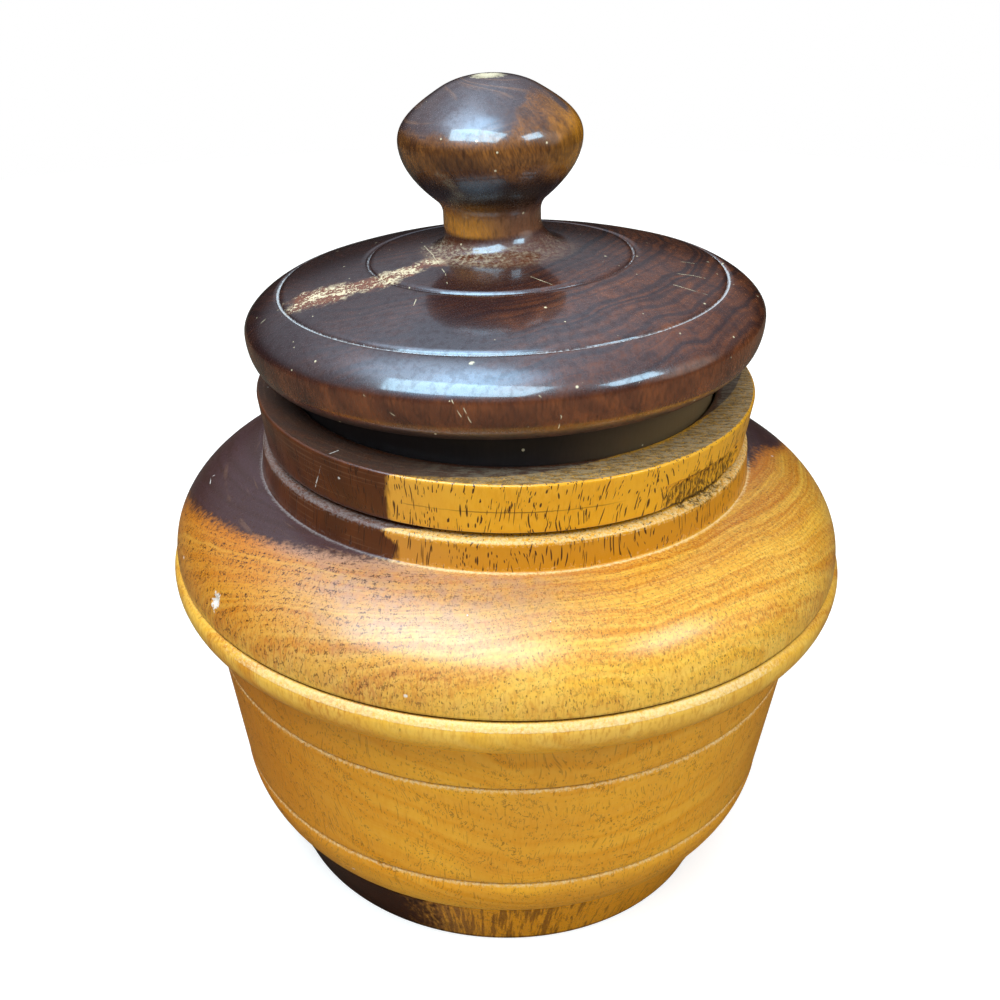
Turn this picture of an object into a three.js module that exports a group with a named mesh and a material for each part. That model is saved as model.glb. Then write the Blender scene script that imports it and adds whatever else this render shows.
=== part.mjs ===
// Lidded wooden jar, turned on a lathe: a hollow body, and a plug lid in one piece with its knob.
// Millimetres, +Z up, origin at the centre of the foot's underside.
import * as THREE from 'three';

// Mouth and neck: a lower band with a round lip, a cut, and an upper band that spreads to the rim
const MOUTH_RADIUS = 37.0;
const MOUTH_EDGE = 0.3;
const RIM_WALL = 6.5;
const RIM_EDGE = 0.5;
const RIM_SPREAD = 1.1;
const UPPER_BAND_HEIGHT = 8.6;
const BAND_CUT_DEPTH = 1.5;
const BAND_CUT_WIDTH = 1.2;
const LOWER_BAND_STEP = 1.0;
const LOWER_BAND_HEIGHT = 5.3;
const LOWER_BAND_DRAFT = 0.2;
const LOWER_BAND_LIP = 0.9;
const LOWER_BAND_LIP_DEG = 80;
const NECK_FILLET = 0.9;

// Shoulder, part of an ellipse whose crest lies just inside the neck
const SHOULDER_RISE = 14.3;
const SHOULDER_CREST_INSIDE_NECK = 3.4;
const SHOULDER_BULGE = 0.1;
const SHOULDER_CENTRE_ABOVE_LINE = 1.7;

// Bead round the widest part, and the line scribed over it
const BEAD_RADIUS = 60.9;
const BEAD_TOP_ROUND = 2.6;
const BEAD_LINE_DEG = 50;
const BEAD_LINE_DEPTH = 0.6;
const BEAD_UNDER_REACH = 5.0;
const BEAD_UNDER_DROP = 5.6;
const BEAD_UNDER_DEG = -75;
const BEAD_PROJECTION = 6.1;
const COVE_RISE = 4.0;

// Bowl, which turns in at the bottom, and the two lines scribed round it
const BOWL_HEIGHT = 39.4;
const BOWL_LOW_RADIUS = 50.7;
const TURN_IN = 2.9;
const TURN_IN_HEIGHT = 8.3;
const TURN_IN_FULLNESS = 0.55;
const LOW_LINE_ABOVE_TURN_IN = 1.2;
const MID_LINE_BELOW_COVE = 6.4;
const SCRIBE_WIDTH = 1.3;
const SCRIBE_DEPTH = 0.7;

// Foot, cut in under the bowl and narrowing downwards
const FOOT_HEIGHT = 12.6;
const UNDERCUT = 1.1;
const UNDERCUT_RISE = 0.6;
const FOOT_TAPER = 5.1;
const FOOT_EDGE = 0.7;

// Hollow
const WALL = 6.4;
const CEILING = 5.4;
const FLOOR = 9.0;
const MOUTH_LIP = 2.0;
const HOLLOW_ROUND = 14.0;
const HOLLOW_CROWN = 16.0;

// Lid, a domed disc with a bead for its edge, and two circles scribed on it
const LID_OVERHANG = 0.9;
const LID_WIDEST_HEIGHT = 5.7;
const LID_EDGE = 1.3;
const LID_SIDE_DRAFT = 0.3;
const LID_BEAD_WIDTH = 6.2;
const DOME_RADIUS = 119.0;
const DOME_TOP = 16.8;
const INNER_SCRIBE_RADIUS = 22.5;
const LID_SCRIBE_WIDTH = 0.9;
const LID_SCRIBE_DEPTH = 0.5;

// Plug under the lid: it tapers, binds in the mouth a little askew, and holds the lid clear of the rim
const PLUG_DEPTH = 8.0;
const PLUG_CLEARANCE = 0.4;
const PLUG_DRAFT_OVER_TILT_DEG = 0.9;
const PLUG_EDGE = 0.8;
const LID_TILT_DEG = 2.5;
const LID_RAISED_SIDE_DEG = -36;
const LID_LOW_GAP = 5.0;

// Stem and knob, which stand a little off the lid's centre
const STEM_OFFSET = 1.1;
const STEM_RADIUS = 8.2;
const STEM_LENGTH = 2.0;
const FLARE = 4.0;
const THROAT = 3.2;
const THROAT_DEG = 50;
const KNOB_RADIUS = 15.2;
const KNOB_UNDER_HEIGHT = 9.6;
const KNOB_SHOULDER_RADIUS = 8.5;
const KNOB_SHOULDER_HEIGHT = 7.7;
const KNOB_CROWN_HEIGHT = 2.2;

// How far the handles of the free curves reach, as shares of each curve's own width or height
const LID_SIDE_PULL = 0.6;
const LID_BEAD_PULL = { up: 0.37, top: 0.54, inward: 0.32 };
const KNOB_UNDER_PULL = 0.4;
const KNOB_SHOULDER_PULL = { up: 0.42, inward: 0.45, drop: 0.3 };
const KNOB_CROWN_PULL = { up: 0.75, out: 0.7, in: 0.35 };

// Facets: how many go round, and the longest step along a curve
const SEGMENTS = 48;
const FINE = 1.4;
const MEDIUM = 2.0;
const COARSE = 4.0;
const LEAST_STEPS = 3;

const radians = THREE.MathUtils.degToRad;
const degrees = THREE.MathUtils.radToDeg;
const lerp = THREE.MathUtils.lerp;
const at = (radius, height) => new THREE.Vector2(radius, height);

// A turned outline, drawn as radius and height from the axis out and back to the axis.
class Outline {
  points = [];

  to(radius, height) {
    const next = at(radius, height);
    const last = this.points.at(-1);
    if (!last || last.distanceTo(next) > 1e-4) this.points.push(next);
  }

  along(curve, step) {
    const steps = Math.max(LEAST_STEPS, Math.round(curve.getLength() / step));
    curve.getPoints(steps).forEach((point) => this.to(point.x, point.y));
  }

  oval(centre, reach, rise, fromDeg, toDeg, step) {
    const from = radians(fromDeg);
    const to = radians(toDeg);
    this.along(new THREE.EllipseCurve(centre.x, centre.y, reach, rise, from, to, to < from), step);
  }

  round(centre, radius, fromDeg, toDeg, step) {
    this.oval(centre, radius, radius, fromDeg, toDeg, step);
  }

  bend(handle, end, step) {
    this.along(new THREE.QuadraticBezierCurve(this.points.at(-1), handle, end), step);
  }

  sweep(handleA, handleB, end, step) {
    this.along(new THREE.CubicBezierCurve(this.points.at(-1), handleA, handleB, end), step);
  }
}

// Radii of the body
const rimR = MOUTH_RADIUS + RIM_WALL;
const upperBandR = rimR - RIM_SPREAD;
const neckFootR = upperBandR + LOWER_BAND_STEP;
const lineR = BEAD_RADIUS - BEAD_TOP_ROUND * (1 - Math.cos(radians(BEAD_LINE_DEG)));
const bowlTopR = BEAD_RADIUS - BEAD_PROJECTION;
const bowlFootR = BOWL_LOW_RADIUS - TURN_IN;
const footTopR = bowlFootR - UNDERCUT;
const footR = footTopR - FOOT_TAPER;

// Heights of the body, from the foot up
const bowlFootZ = FOOT_HEIGHT + UNDERCUT_RISE;
const turnInZ = bowlFootZ + TURN_IN_HEIGHT;
const coveZ = FOOT_HEIGHT + BOWL_HEIGHT;
const beadUnderZ = coveZ + COVE_RISE;
const beadZ = beadUnderZ - BEAD_UNDER_DROP * Math.sin(radians(BEAD_UNDER_DEG));
const lineZ = beadZ + BEAD_TOP_ROUND * Math.sin(radians(BEAD_LINE_DEG));
const crestR = neckFootR - SHOULDER_CREST_INSIDE_NECK;
const crestZ = lineZ + SHOULDER_CENTRE_ABOVE_LINE;
const shoulderReach = lineR + SHOULDER_BULGE - crestR;
const shoulderEndDeg = degrees(Math.acos((neckFootR + NECK_FILLET - crestR) / shoulderReach));
const neckFootZ = crestZ + SHOULDER_RISE * Math.sin(radians(shoulderEndDeg));
const lowerBandZ = neckFootZ + LOWER_BAND_HEIGHT;
const rimZ = lowerBandZ + BAND_CUT_WIDTH + UPPER_BAND_HEIGHT;

// The bowl's side is straight between its turned-in bottom and the cove under the bead.
const sideSlope = (bowlTopR - BOWL_LOW_RADIUS) / (coveZ - turnInZ);
const sideRadius = (z) => BOWL_LOW_RADIUS + sideSlope * (z - turnInZ);

function drawFoot(outline) {
  outline.to(0, 0);
  outline.round(at(footR - FOOT_EDGE, FOOT_EDGE), FOOT_EDGE, -90, 0, FINE);
  outline.to(footTopR, FOOT_HEIGHT);
}

function scribeSide(outline, z) {
  const half = SCRIBE_WIDTH / 2;
  outline.to(sideRadius(z - half), z - half);
  outline.to(sideRadius(z) - SCRIBE_DEPTH, z);
  outline.to(sideRadius(z + half), z + half);
}

function drawBowl(outline) {
  const handleZ = turnInZ - TURN_IN_HEIGHT * TURN_IN_FULLNESS;
  outline.to(bowlFootR, bowlFootZ);
  outline.bend(at(sideRadius(handleZ), handleZ), at(BOWL_LOW_RADIUS, turnInZ), MEDIUM);
  scribeSide(outline, turnInZ + LOW_LINE_ABOVE_TURN_IN);
  scribeSide(outline, coveZ - MID_LINE_BELOW_COVE);
  outline.to(bowlTopR, coveZ);
}

function drawBead(outline) {
  const underR = BEAD_RADIUS - BEAD_UNDER_REACH;
  const underEdgeR = underR + BEAD_UNDER_REACH * Math.cos(radians(BEAD_UNDER_DEG));
  const topCentre = at(BEAD_RADIUS - BEAD_TOP_ROUND, beadZ);
  outline.bend(at(sideRadius(beadUnderZ), beadUnderZ), at(underEdgeR, beadUnderZ), FINE);
  outline.oval(at(underR, beadZ), BEAD_UNDER_REACH, BEAD_UNDER_DROP, BEAD_UNDER_DEG, 0, FINE);
  outline.round(topCentre, BEAD_TOP_ROUND, 0, BEAD_LINE_DEG, FINE);
  outline.to(lineR - BEAD_LINE_DEPTH, lineZ + BEAD_LINE_DEPTH / 2);
}

function drawShoulder(outline) {
  const startDeg = degrees(Math.asin((lineZ + BEAD_LINE_DEPTH - crestZ) / SHOULDER_RISE));
  outline.oval(at(crestR, crestZ), shoulderReach, SHOULDER_RISE, startDeg, shoulderEndDeg, MEDIUM);
}

function drawNeck(outline) {
  const lipCentre = at(neckFootR - LOWER_BAND_DRAFT - LOWER_BAND_LIP, lowerBandZ - LOWER_BAND_LIP);
  outline.bend(at(neckFootR, neckFootZ), at(neckFootR, neckFootZ + NECK_FILLET), FINE);
  outline.round(lipCentre, LOWER_BAND_LIP, 0, LOWER_BAND_LIP_DEG, FINE);
  outline.to(upperBandR - BAND_CUT_DEPTH, lowerBandZ + BAND_CUT_WIDTH / 2);
  outline.to(upperBandR, lowerBandZ + BAND_CUT_WIDTH);
  outline.round(at(rimR - RIM_EDGE, rimZ - RIM_EDGE), RIM_EDGE, 0, 90, FINE);
}

function drawHollow(outline) {
  const ceilingZ = neckFootZ - CEILING;
  const lip = at(MOUTH_RADIUS + MOUTH_LIP, ceilingZ + MOUTH_LIP);
  const crown = at(lip.x, ceilingZ - HOLLOW_CROWN);
  const corner = at(BOWL_LOW_RADIUS - WALL - HOLLOW_ROUND, FLOOR + HOLLOW_ROUND);
  outline.round(at(MOUTH_RADIUS + MOUTH_EDGE, rimZ - MOUTH_EDGE), MOUTH_EDGE, 90, 180, FINE);
  outline.round(lip, MOUTH_LIP, 180, 270, FINE);
  outline.oval(crown, bowlTopR - WALL - crown.x, HOLLOW_CROWN, 90, 0, COARSE);
  outline.round(corner, HOLLOW_ROUND, 0, -90, COARSE);
  outline.to(0, FLOOR);
}

// The lid's heights are counted from its underside, which stands over the rim by lidStand.
const lidR = rimR + LID_OVERHANG;
const outerScribeR = lidR - LID_BEAD_WIDTH;
const flareR = STEM_RADIUS + FLARE;
const lidStand = LID_LOW_GAP + lidR * Math.sin(radians(LID_TILT_DEG));
const plugDraft = Math.tan(radians(LID_TILT_DEG + PLUG_DRAFT_OVER_TILT_DEG));
const plugRadius = (aboveRim) => MOUTH_RADIUS - PLUG_CLEARANCE + aboveRim * plugDraft;
const domeHeight = (radius) => DOME_TOP - DOME_RADIUS + Math.sqrt(DOME_RADIUS ** 2 - radius ** 2);

function drawPlug(outline) {
  const bottomR = plugRadius(-PLUG_DEPTH);
  const bottomZ = -lidStand - PLUG_DEPTH;
  outline.to(0, bottomZ);
  outline.to(bottomR - PLUG_EDGE, bottomZ);
  outline.to(bottomR, bottomZ + PLUG_EDGE);
  outline.to(plugRadius(lidStand), 0);
}

function drawLidBead(outline) {
  const innerR = outerScribeR + LID_SCRIBE_WIDTH / 2;
  const innerZ = domeHeight(innerR);
  const rise = innerZ - LID_WIDEST_HEIGHT;
  const edgeCentre = at(lidR - LID_SIDE_DRAFT - LID_EDGE, LID_EDGE);
  const topR = lerp(lidR, innerR, LID_BEAD_PULL.inward);
  outline.round(edgeCentre, LID_EDGE, -90, 0, FINE);
  outline.bend(at(lidR, LID_WIDEST_HEIGHT * LID_SIDE_PULL), at(lidR, LID_WIDEST_HEIGHT), MEDIUM);
  outline.sweep(
    at(lidR, LID_WIDEST_HEIGHT + rise * LID_BEAD_PULL.up),
    at(topR, LID_WIDEST_HEIGHT + rise * LID_BEAD_PULL.top),
    at(innerR, innerZ),
    FINE);
}

function drawDome(outline) {
  const half = LID_SCRIBE_WIDTH / 2;
  const centre = at(0, DOME_TOP - DOME_RADIUS);
  const angle = (radius) => degrees(Math.acos(radius / DOME_RADIUS));
  outline.to(outerScribeR, domeHeight(outerScribeR) - LID_SCRIBE_DEPTH);
  outline.round(centre, DOME_RADIUS, angle(outerScribeR - half), angle(INNER_SCRIBE_RADIUS + half), COARSE);
  outline.to(INNER_SCRIBE_RADIUS, domeHeight(INNER_SCRIBE_RADIUS) - LID_SCRIBE_DEPTH);
  outline.round(centre, DOME_RADIUS, angle(INNER_SCRIBE_RADIUS - half), angle(flareR), COARSE);
}

function drawStem(outline) {
  const footZ = domeHeight(flareR) + FLARE;
  outline.round(at(flareR, footZ), FLARE, 270, 180, FINE);
  outline.round(at(STEM_RADIUS + THROAT, footZ + STEM_LENGTH), THROAT, 180, 180 - THROAT_DEG, FINE);
}

function drawKnob(outline) {
  const start = outline.points.at(-1);
  const widestZ = start.y + KNOB_UNDER_HEIGHT;
  const shoulderZ = widestZ + KNOB_SHOULDER_HEIGHT;
  const topZ = shoulderZ + KNOB_CROWN_HEIGHT;
  const lean = radians(THROAT_DEG);
  const reach = KNOB_UNDER_HEIGHT * KNOB_UNDER_PULL;
  const sideR = lerp(KNOB_RADIUS, KNOB_SHOULDER_RADIUS, KNOB_SHOULDER_PULL.inward);
  outline.sweep(
    at(start.x + reach * Math.sin(lean), start.y + reach * Math.cos(lean)),
    at(KNOB_RADIUS, widestZ - reach),
    at(KNOB_RADIUS, widestZ),
    FINE);
  outline.sweep(
    at(KNOB_RADIUS, widestZ + KNOB_SHOULDER_HEIGHT * KNOB_SHOULDER_PULL.up),
    at(sideR, shoulderZ - KNOB_SHOULDER_HEIGHT * KNOB_SHOULDER_PULL.drop),
    at(KNOB_SHOULDER_RADIUS, shoulderZ),
    FINE);
  outline.sweep(
    at(KNOB_SHOULDER_RADIUS * KNOB_CROWN_PULL.out, shoulderZ + KNOB_CROWN_HEIGHT * KNOB_CROWN_PULL.up),
    at(KNOB_SHOULDER_RADIUS * KNOB_CROWN_PULL.in, topZ),
    at(0, topZ),
    MEDIUM);
}

// Turns the outline that the given strokes draw about +Z.
function turn(strokes) {
  const outline = new Outline();
  strokes.forEach((draw) => draw(outline));
  return new THREE.LatheGeometry(outline.points, SEGMENTS).rotateX(Math.PI / 2);
}

// Moves the stem and knob off the lid's centre, easing in over the flare.
function offsetStem(geometry) {
  const startZ = domeHeight(flareR);
  const position = geometry.attributes.position;
  for (let i = 0; i < position.count; i += 1) {
    const share = THREE.MathUtils.clamp((position.getZ(i) - startZ) / FLARE, 0, 1);
    position.setX(i, position.getX(i) - STEM_OFFSET * share);
  }
  return geometry;
}

function makeJarBody() {
  const sapwood = new THREE.MeshStandardMaterial({ color: 0xc98a2b, roughness: 0.35, metalness: 0 });
  const strokes = [drawFoot, drawBowl, drawBead, drawShoulder, drawNeck, drawHollow];
  const mesh = new THREE.Mesh(turn(strokes), sapwood);
  mesh.name = 'jar_body';
  return mesh;
}

function makeLid() {
  const heartwood = new THREE.MeshStandardMaterial({ color: 0x3b2320, roughness: 0.3, metalness: 0 });
  const strokes = [drawPlug, drawLidBead, drawDome, drawStem, drawKnob];
  const mesh = new THREE.Mesh(offsetStem(turn(strokes)), heartwood);
  mesh.name = 'lid';
  mesh.position.z = lidStand;
  return mesh;
}

// Holds the lid at the rim, leaning up towards its raised side.
function makeLidSeat() {
  const raised = radians(LID_RAISED_SIDE_DEG);
  const hinge = new THREE.Vector3(Math.sin(raised), -Math.cos(raised), 0);
  const seat = new THREE.Group();
  seat.position.z = rimZ;
  seat.quaternion.setFromAxisAngle(hinge, radians(LID_TILT_DEG));
  seat.add(makeLid());
  return seat;
}

const jar = new THREE.Group();
jar.add(makeJarBody());
jar.add(makeLidSeat());

export default jar;
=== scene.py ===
import math
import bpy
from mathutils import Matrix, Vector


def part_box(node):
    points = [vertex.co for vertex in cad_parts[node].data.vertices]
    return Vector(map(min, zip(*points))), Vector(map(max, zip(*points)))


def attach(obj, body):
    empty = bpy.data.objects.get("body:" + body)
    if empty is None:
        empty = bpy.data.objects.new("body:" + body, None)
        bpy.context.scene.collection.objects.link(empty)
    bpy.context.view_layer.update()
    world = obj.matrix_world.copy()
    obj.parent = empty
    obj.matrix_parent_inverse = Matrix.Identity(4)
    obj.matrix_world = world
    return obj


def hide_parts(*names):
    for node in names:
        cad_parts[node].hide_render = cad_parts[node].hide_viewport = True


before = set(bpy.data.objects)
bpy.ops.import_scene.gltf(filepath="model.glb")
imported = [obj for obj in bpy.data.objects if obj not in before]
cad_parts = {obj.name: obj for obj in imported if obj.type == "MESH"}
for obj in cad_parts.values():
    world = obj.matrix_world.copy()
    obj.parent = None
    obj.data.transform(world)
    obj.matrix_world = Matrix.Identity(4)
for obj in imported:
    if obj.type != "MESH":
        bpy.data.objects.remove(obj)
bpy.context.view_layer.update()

from types import SimpleNamespace

import bmesh
import bpy
from mathutils import Matrix, Vector, geometry, noise

# Every length below is in millimetres, as on a turner's drawing. The meshes are scaled to metres last.
# Azimuths are counted from the camera's side, and grow to the right.
MM = 0.001
TURN_STEPS = 240
# Marks the outline's points carry: pale dust, dirt together with painted shade in cuts, creases and under
# overhangs, and unpolished wood
MARKS = ("dust", "grime", "raw")

# Body, from the foot up
RIM_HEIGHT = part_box("jar_body")[1].z / MM
FOOT_RADIUS = 41.6
FOOT_EDGE = 0.7
FOOT_STAIN_TOP = (42.1, 2.0)
FOOT_TOP = (46.5, 12.3)
UNDERCUT = (46.1, 12.8)
BOWL_FOOT = (47.7, 13.3)
BOWL_FOOT_TURN_HEIGHT = 16.9
BOWL_LOW = (50.7, 21.5)
BOWL_TOP = (54.8, 52.0)
LOW_LINE_HEIGHT = 22.7
MIDDLE_LINE_HEIGHT = 45.6
BEAD_UNDER = (55.9, 61.41)
BEAD_UNDER_REACH = 5.0
BEAD_UNDER_DROP = 5.6
BEAD_UNDER_DEG = -75
BEAD_COVE_HEIGHT = 56.0
BEAD_TOP = (58.3, 61.41)
BEAD_TOP_ROUND = 2.6
BEAD_LINE_DEG = 46
SHOULDER_CREST = (40.0, 65.10)
SHOULDER_REACH = 20.07
SHOULDER_RISE = 14.3
SHOULDER_FROM_DEG = -4.8
SHOULDER_TO_DEG = 77.6
NECK_RADIUS = 43.4
NECK_FOOT_HEIGHT = 79.07
NECK_FILLET = 0.9
LIP_CENTRE = (42.3, 83.47)
LIP_ROUND = 0.9
BAND_CUT_RADIUS = 40.9
BAND_RADIUS = 42.4
BAND_FOOT_HEIGHT = 85.5
RIM_RADIUS = 43.5
RIM_EDGE = 0.5
MOUTH_RADIUS = 37.0
CEILING_HEIGHT = 73.7
MOUTH_LIP = 2.0
CROWN_CENTRE = (39.0, 57.7)
CROWN_REACH = 9.4
CROWN_RISE = 16.0
HOLLOW_SIDE_RADIUS = 44.3
CORNER_CENTRE = (30.3, 23.0)
CORNER_ROUND = 14.0

# Lid, with heights counted from its underside
LID_STAND = 6.94
LID_TILT_DEG = 2.5
LID_RAISED_SIDE_DEG = -36
PLUG_DEPTH = 8.0
PLUG_FOOT_RADIUS = 36.12
PLUG_TOP_RADIUS = 37.01
PLUG_EDGE = 0.8
LID_RADIUS = 44.4
LID_UNDER_CENTRE = (40.4, 4.9)
LID_UNDER_REACH = 4.0
LID_UNDER_DROP = 6.7
LID_WIDEST_HEIGHT = 4.9
DOME_RADIUS = 119.0
DOME_TOP = 16.8
OUTER_RING_RADIUS = 38.2
INNER_RING_RADIUS = 22.5
RING_HALF_WIDTH = 0.45
RING_DEPTH = 0.5
STEM_OFFSET = 1.1
STEM_RADIUS = 8.2
FLARE = 4.0
STEM_LENGTH = 2.0
THROAT = 3.2
THROAT_DEG = 50
KNOB_RADIUS = 15.2
KNOB_UNDER_HEIGHT = 9.6
KNOB_SHOULDER_RADIUS = 8.5
KNOB_SHOULDER_HEIGHT = 7.7
KNOB_CROWN_HEIGHT = 2.2

# Small forms, as rows of radius, height and marks: what has gathered there, and painted shade
# A line cut with the tool's point, from its own place: worn round below, steep above, with dirt and painted
# shade in the cut
SCRIBED_LINE = (
    (-0.2, -0.95, {"dust": 0.5}),
    (-0.3, -0.55, {"dust": 0.8}),
    (-0.52, -0.25, {"dust": 0.6}),
    (-0.75, -0.08, {"grime": 1}),
    (-0.72, 0.1, {"grime": 1}),
    (-0.05, 0.2, {"grime": 0.5}),
)
# A circle scribed on the dome, from its own place, filled with old wax and dust
SCRIBED_RING = (
    (0.25, -RING_DEPTH * 0.4, {"dust": 0.4}),
    (0.1, -RING_DEPTH * 0.9, {"dust": 1}),
    (-0.1, -RING_DEPTH * 0.9, {"dust": 1}),
    (-0.25, -RING_DEPTH * 0.4, {"dust": 0.4}),
)
# The dark line between bead and shoulder: dirt and painted shade in the cut
BEAD_CUT = (
    (59.55, 63.48, {"grime": 1}),
    (59.25, 63.62, {"grime": 1}),
    (59.35, 63.80, {"grime": 1}),
)
# The groove between the neck's two bands, from the lip up, with dirt and painted shade in it
BAND_CUT = (
    (41.6, 84.50, {"dust": 0.75}),
    (BAND_CUT_RADIUS + 0.1, 84.75, {"grime": 0.8}),
    (BAND_CUT_RADIUS + 0.05, 85.1, {"grime": 1}),
    (BAND_RADIUS - 0.15, BAND_FOOT_HEIGHT - 0.1, {"grime": 0.9}),
    (BAND_RADIUS, BAND_FOOT_HEIGHT + 0.1, {}),
)

# Damage: a chip in the shoulder, a dip on the knob, and a torn place in the groove between the bands
CHIP = (-46.3, -37.0, 68.9)
KNOB_DIP = (-3.0, 0.5, 145.2)
TORN_MIDDLE_DEG = 50
TORN_HALF_WIDTH_DEG = 15
TORN_HEIGHTS = (84.0, 90.0)
TORN_DEPTH = 0.55
TORN_FIBRES = Vector((0.9, 0.9, 0.35))


class Outline:
    """A turned outline, drawn as radius and height from the axis out and back to the axis."""

    def __init__(self):
        self.points = []
        self.marks = {}

    def mark(self, **marks):
        """The marks that the next points carry, such as dust=0.8."""
        self.marks = marks

    def to(self, radius, height):
        if self.points:
            last = self.points[-1]
            if math.hypot(last[0] - radius, last[1] - height) < 0.005:
                return
        self.points.append((radius, height, dict(self.marks)))

    def trace(self, rows, radius=0, height=0):
        """Follows the rows of a small form, counted from a point."""
        for across, up, marks in rows:
            self.mark(**marks)
            self.to(radius + across, height + up)

    def line(self, radius, height, step=1.2):
        start = self.points[-1]
        count = max(1, round(math.hypot(radius - start[0], height - start[1]) / step))
        for i in range(1, count + 1):
            share = i / count
            self.to(start[0] + (radius - start[0]) * share, start[1] + (height - start[1]) * share)

    def oval(self, centre, reach, rise, from_deg, to_deg, step=0.7):
        count = max(3, round(math.radians(abs(to_deg - from_deg)) * max(reach, rise) / step))
        for i in range(count + 1):
            angle = math.radians(from_deg + (to_deg - from_deg) * i / count)
            self.to(centre[0] + reach * math.cos(angle), centre[1] + rise * math.sin(angle))

    def round(self, centre, radius, from_deg, to_deg, step=0.3):
        self.oval(centre, radius, radius, from_deg, to_deg, step)

    def sweep(self, handle_a, handle_b, end, step=0.7):
        start = Vector(self.points[-1][:2])
        count = max(4, round((Vector(end) - start).length / step))
        knots = [v.to_3d() for v in (start, Vector(handle_a), Vector(handle_b), Vector(end))]
        for point in geometry.interpolate_bezier(*knots, count + 1):
            self.to(point.x, point.y)

    def bend(self, handle, end, step=0.7):
        start = Vector(self.points[-1][:2])
        pull = Vector(handle)
        self.sweep(start.lerp(pull, 2 / 3), Vector(end).lerp(pull, 2 / 3), end, step)


def side_radius(height):
    """The bowl's straight side, between its turned-in bottom and the cove."""
    slope = (BOWL_TOP[0] - BOWL_LOW[0]) / (BOWL_TOP[1] - BOWL_LOW[1])
    return BOWL_LOW[0] + slope * (height - BOWL_LOW[1])


def draw_foot(outline):
    outline.mark(raw=0.7)
    outline.to(0, 0)
    outline.line(FOOT_RADIUS - FOOT_EDGE, 0, step=6)
    # Dirt and painted shade round the foot's lower edge, fading up the foot
    outline.mark(grime=0.7)
    outline.round((FOOT_RADIUS - FOOT_EDGE, FOOT_EDGE), FOOT_EDGE, -90, 0)
    outline.mark(grime=0.25)
    outline.line(*FOOT_STAIN_TOP, step=0.5)
    outline.mark()
    outline.line(*FOOT_TOP, step=1.0)
    # Painted shade in the undercut below the bowl's lip
    outline.mark(grime=1)
    outline.line(*UNDERCUT, step=0.3)


def draw_scribed_line(outline, height):
    outline.mark()
    outline.line(side_radius(height - 1.5), height - 1.5, step=1.0)
    outline.trace(SCRIBED_LINE, side_radius(height), height)
    outline.mark()
    outline.to(side_radius(height + 0.4), height + 0.4)


def draw_bowl(outline):
    # Painted shade under the bowl's lip, at the top of the undercut
    outline.mark(grime=0.8)
    outline.to(BOWL_FOOT[0] - 0.35, BOWL_FOOT[1] - 0.1)
    outline.mark(dust=0.25)
    outline.to(BOWL_FOOT[0], BOWL_FOOT[1] + 0.25)
    outline.mark()
    turn_in = (side_radius(BOWL_FOOT_TURN_HEIGHT), BOWL_FOOT_TURN_HEIGHT)
    outline.bend(turn_in, (BOWL_LOW[0], BOWL_LOW[1] - 0.6), step=1.0)
    draw_scribed_line(outline, LOW_LINE_HEIGHT)
    draw_scribed_line(outline, MIDDLE_LINE_HEIGHT)
    outline.line(*BOWL_TOP, step=1.2)


def draw_bead(outline):
    under_edge = BEAD_UNDER[0] + BEAD_UNDER_REACH * math.cos(math.radians(BEAD_UNDER_DEG))
    # Light painted shade in the cove under the bead
    outline.mark(grime=0.15)
    outline.bend((side_radius(BEAD_COVE_HEIGHT), BEAD_COVE_HEIGHT), (under_edge, BEAD_COVE_HEIGHT))
    outline.mark()
    outline.oval(BEAD_UNDER, BEAD_UNDER_REACH, BEAD_UNDER_DROP, BEAD_UNDER_DEG, -8)
    outline.mark(dust=0.2)
    outline.round(BEAD_TOP, BEAD_TOP_ROUND, 0, 14)
    outline.mark(dust=0.85)
    outline.round(BEAD_TOP, BEAD_TOP_ROUND, 18, BEAD_LINE_DEG)
    outline.trace(BEAD_CUT)


def draw_shoulder(outline):
    oval = (SHOULDER_CREST, SHOULDER_REACH, SHOULDER_RISE)
    # Painted shade where the shoulder meets the cut below it
    outline.mark(grime=0.5)
    outline.oval(*oval, SHOULDER_FROM_DEG, SHOULDER_FROM_DEG + 1)
    outline.mark()
    outline.oval(*oval, SHOULDER_FROM_DEG + 2.2, SHOULDER_TO_DEG - 3)
    outline.mark(dust=0.3)
    outline.oval(*oval, SHOULDER_TO_DEG - 1, SHOULDER_TO_DEG)


def draw_neck(outline):
    outline.mark(dust=1)
    outline.to(NECK_RADIUS + 0.25, NECK_FOOT_HEIGHT + 0.08)
    outline.mark(dust=0.4)
    fillet_top = (NECK_RADIUS, NECK_FOOT_HEIGHT + NECK_FILLET)
    outline.bend((NECK_RADIUS, NECK_FOOT_HEIGHT + 0.1), fillet_top, step=0.3)
    outline.mark()
    outline.line(NECK_RADIUS - 0.02, NECK_FOOT_HEIGHT + 1.6, step=0.5)
    outline.line(LIP_CENTRE[0] + LIP_ROUND, LIP_CENTRE[1] - 0.2, step=0.7)
    outline.mark(dust=0.5)
    outline.round(LIP_CENTRE, LIP_ROUND, 0, 20, step=0.2)
    outline.mark(dust=0.75)
    outline.round(LIP_CENTRE, LIP_ROUND, 30, 80, step=0.2)
    outline.trace(BAND_CUT)
    outline.line(RIM_RADIUS, RIM_HEIGHT - RIM_EDGE, step=0.6)


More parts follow.
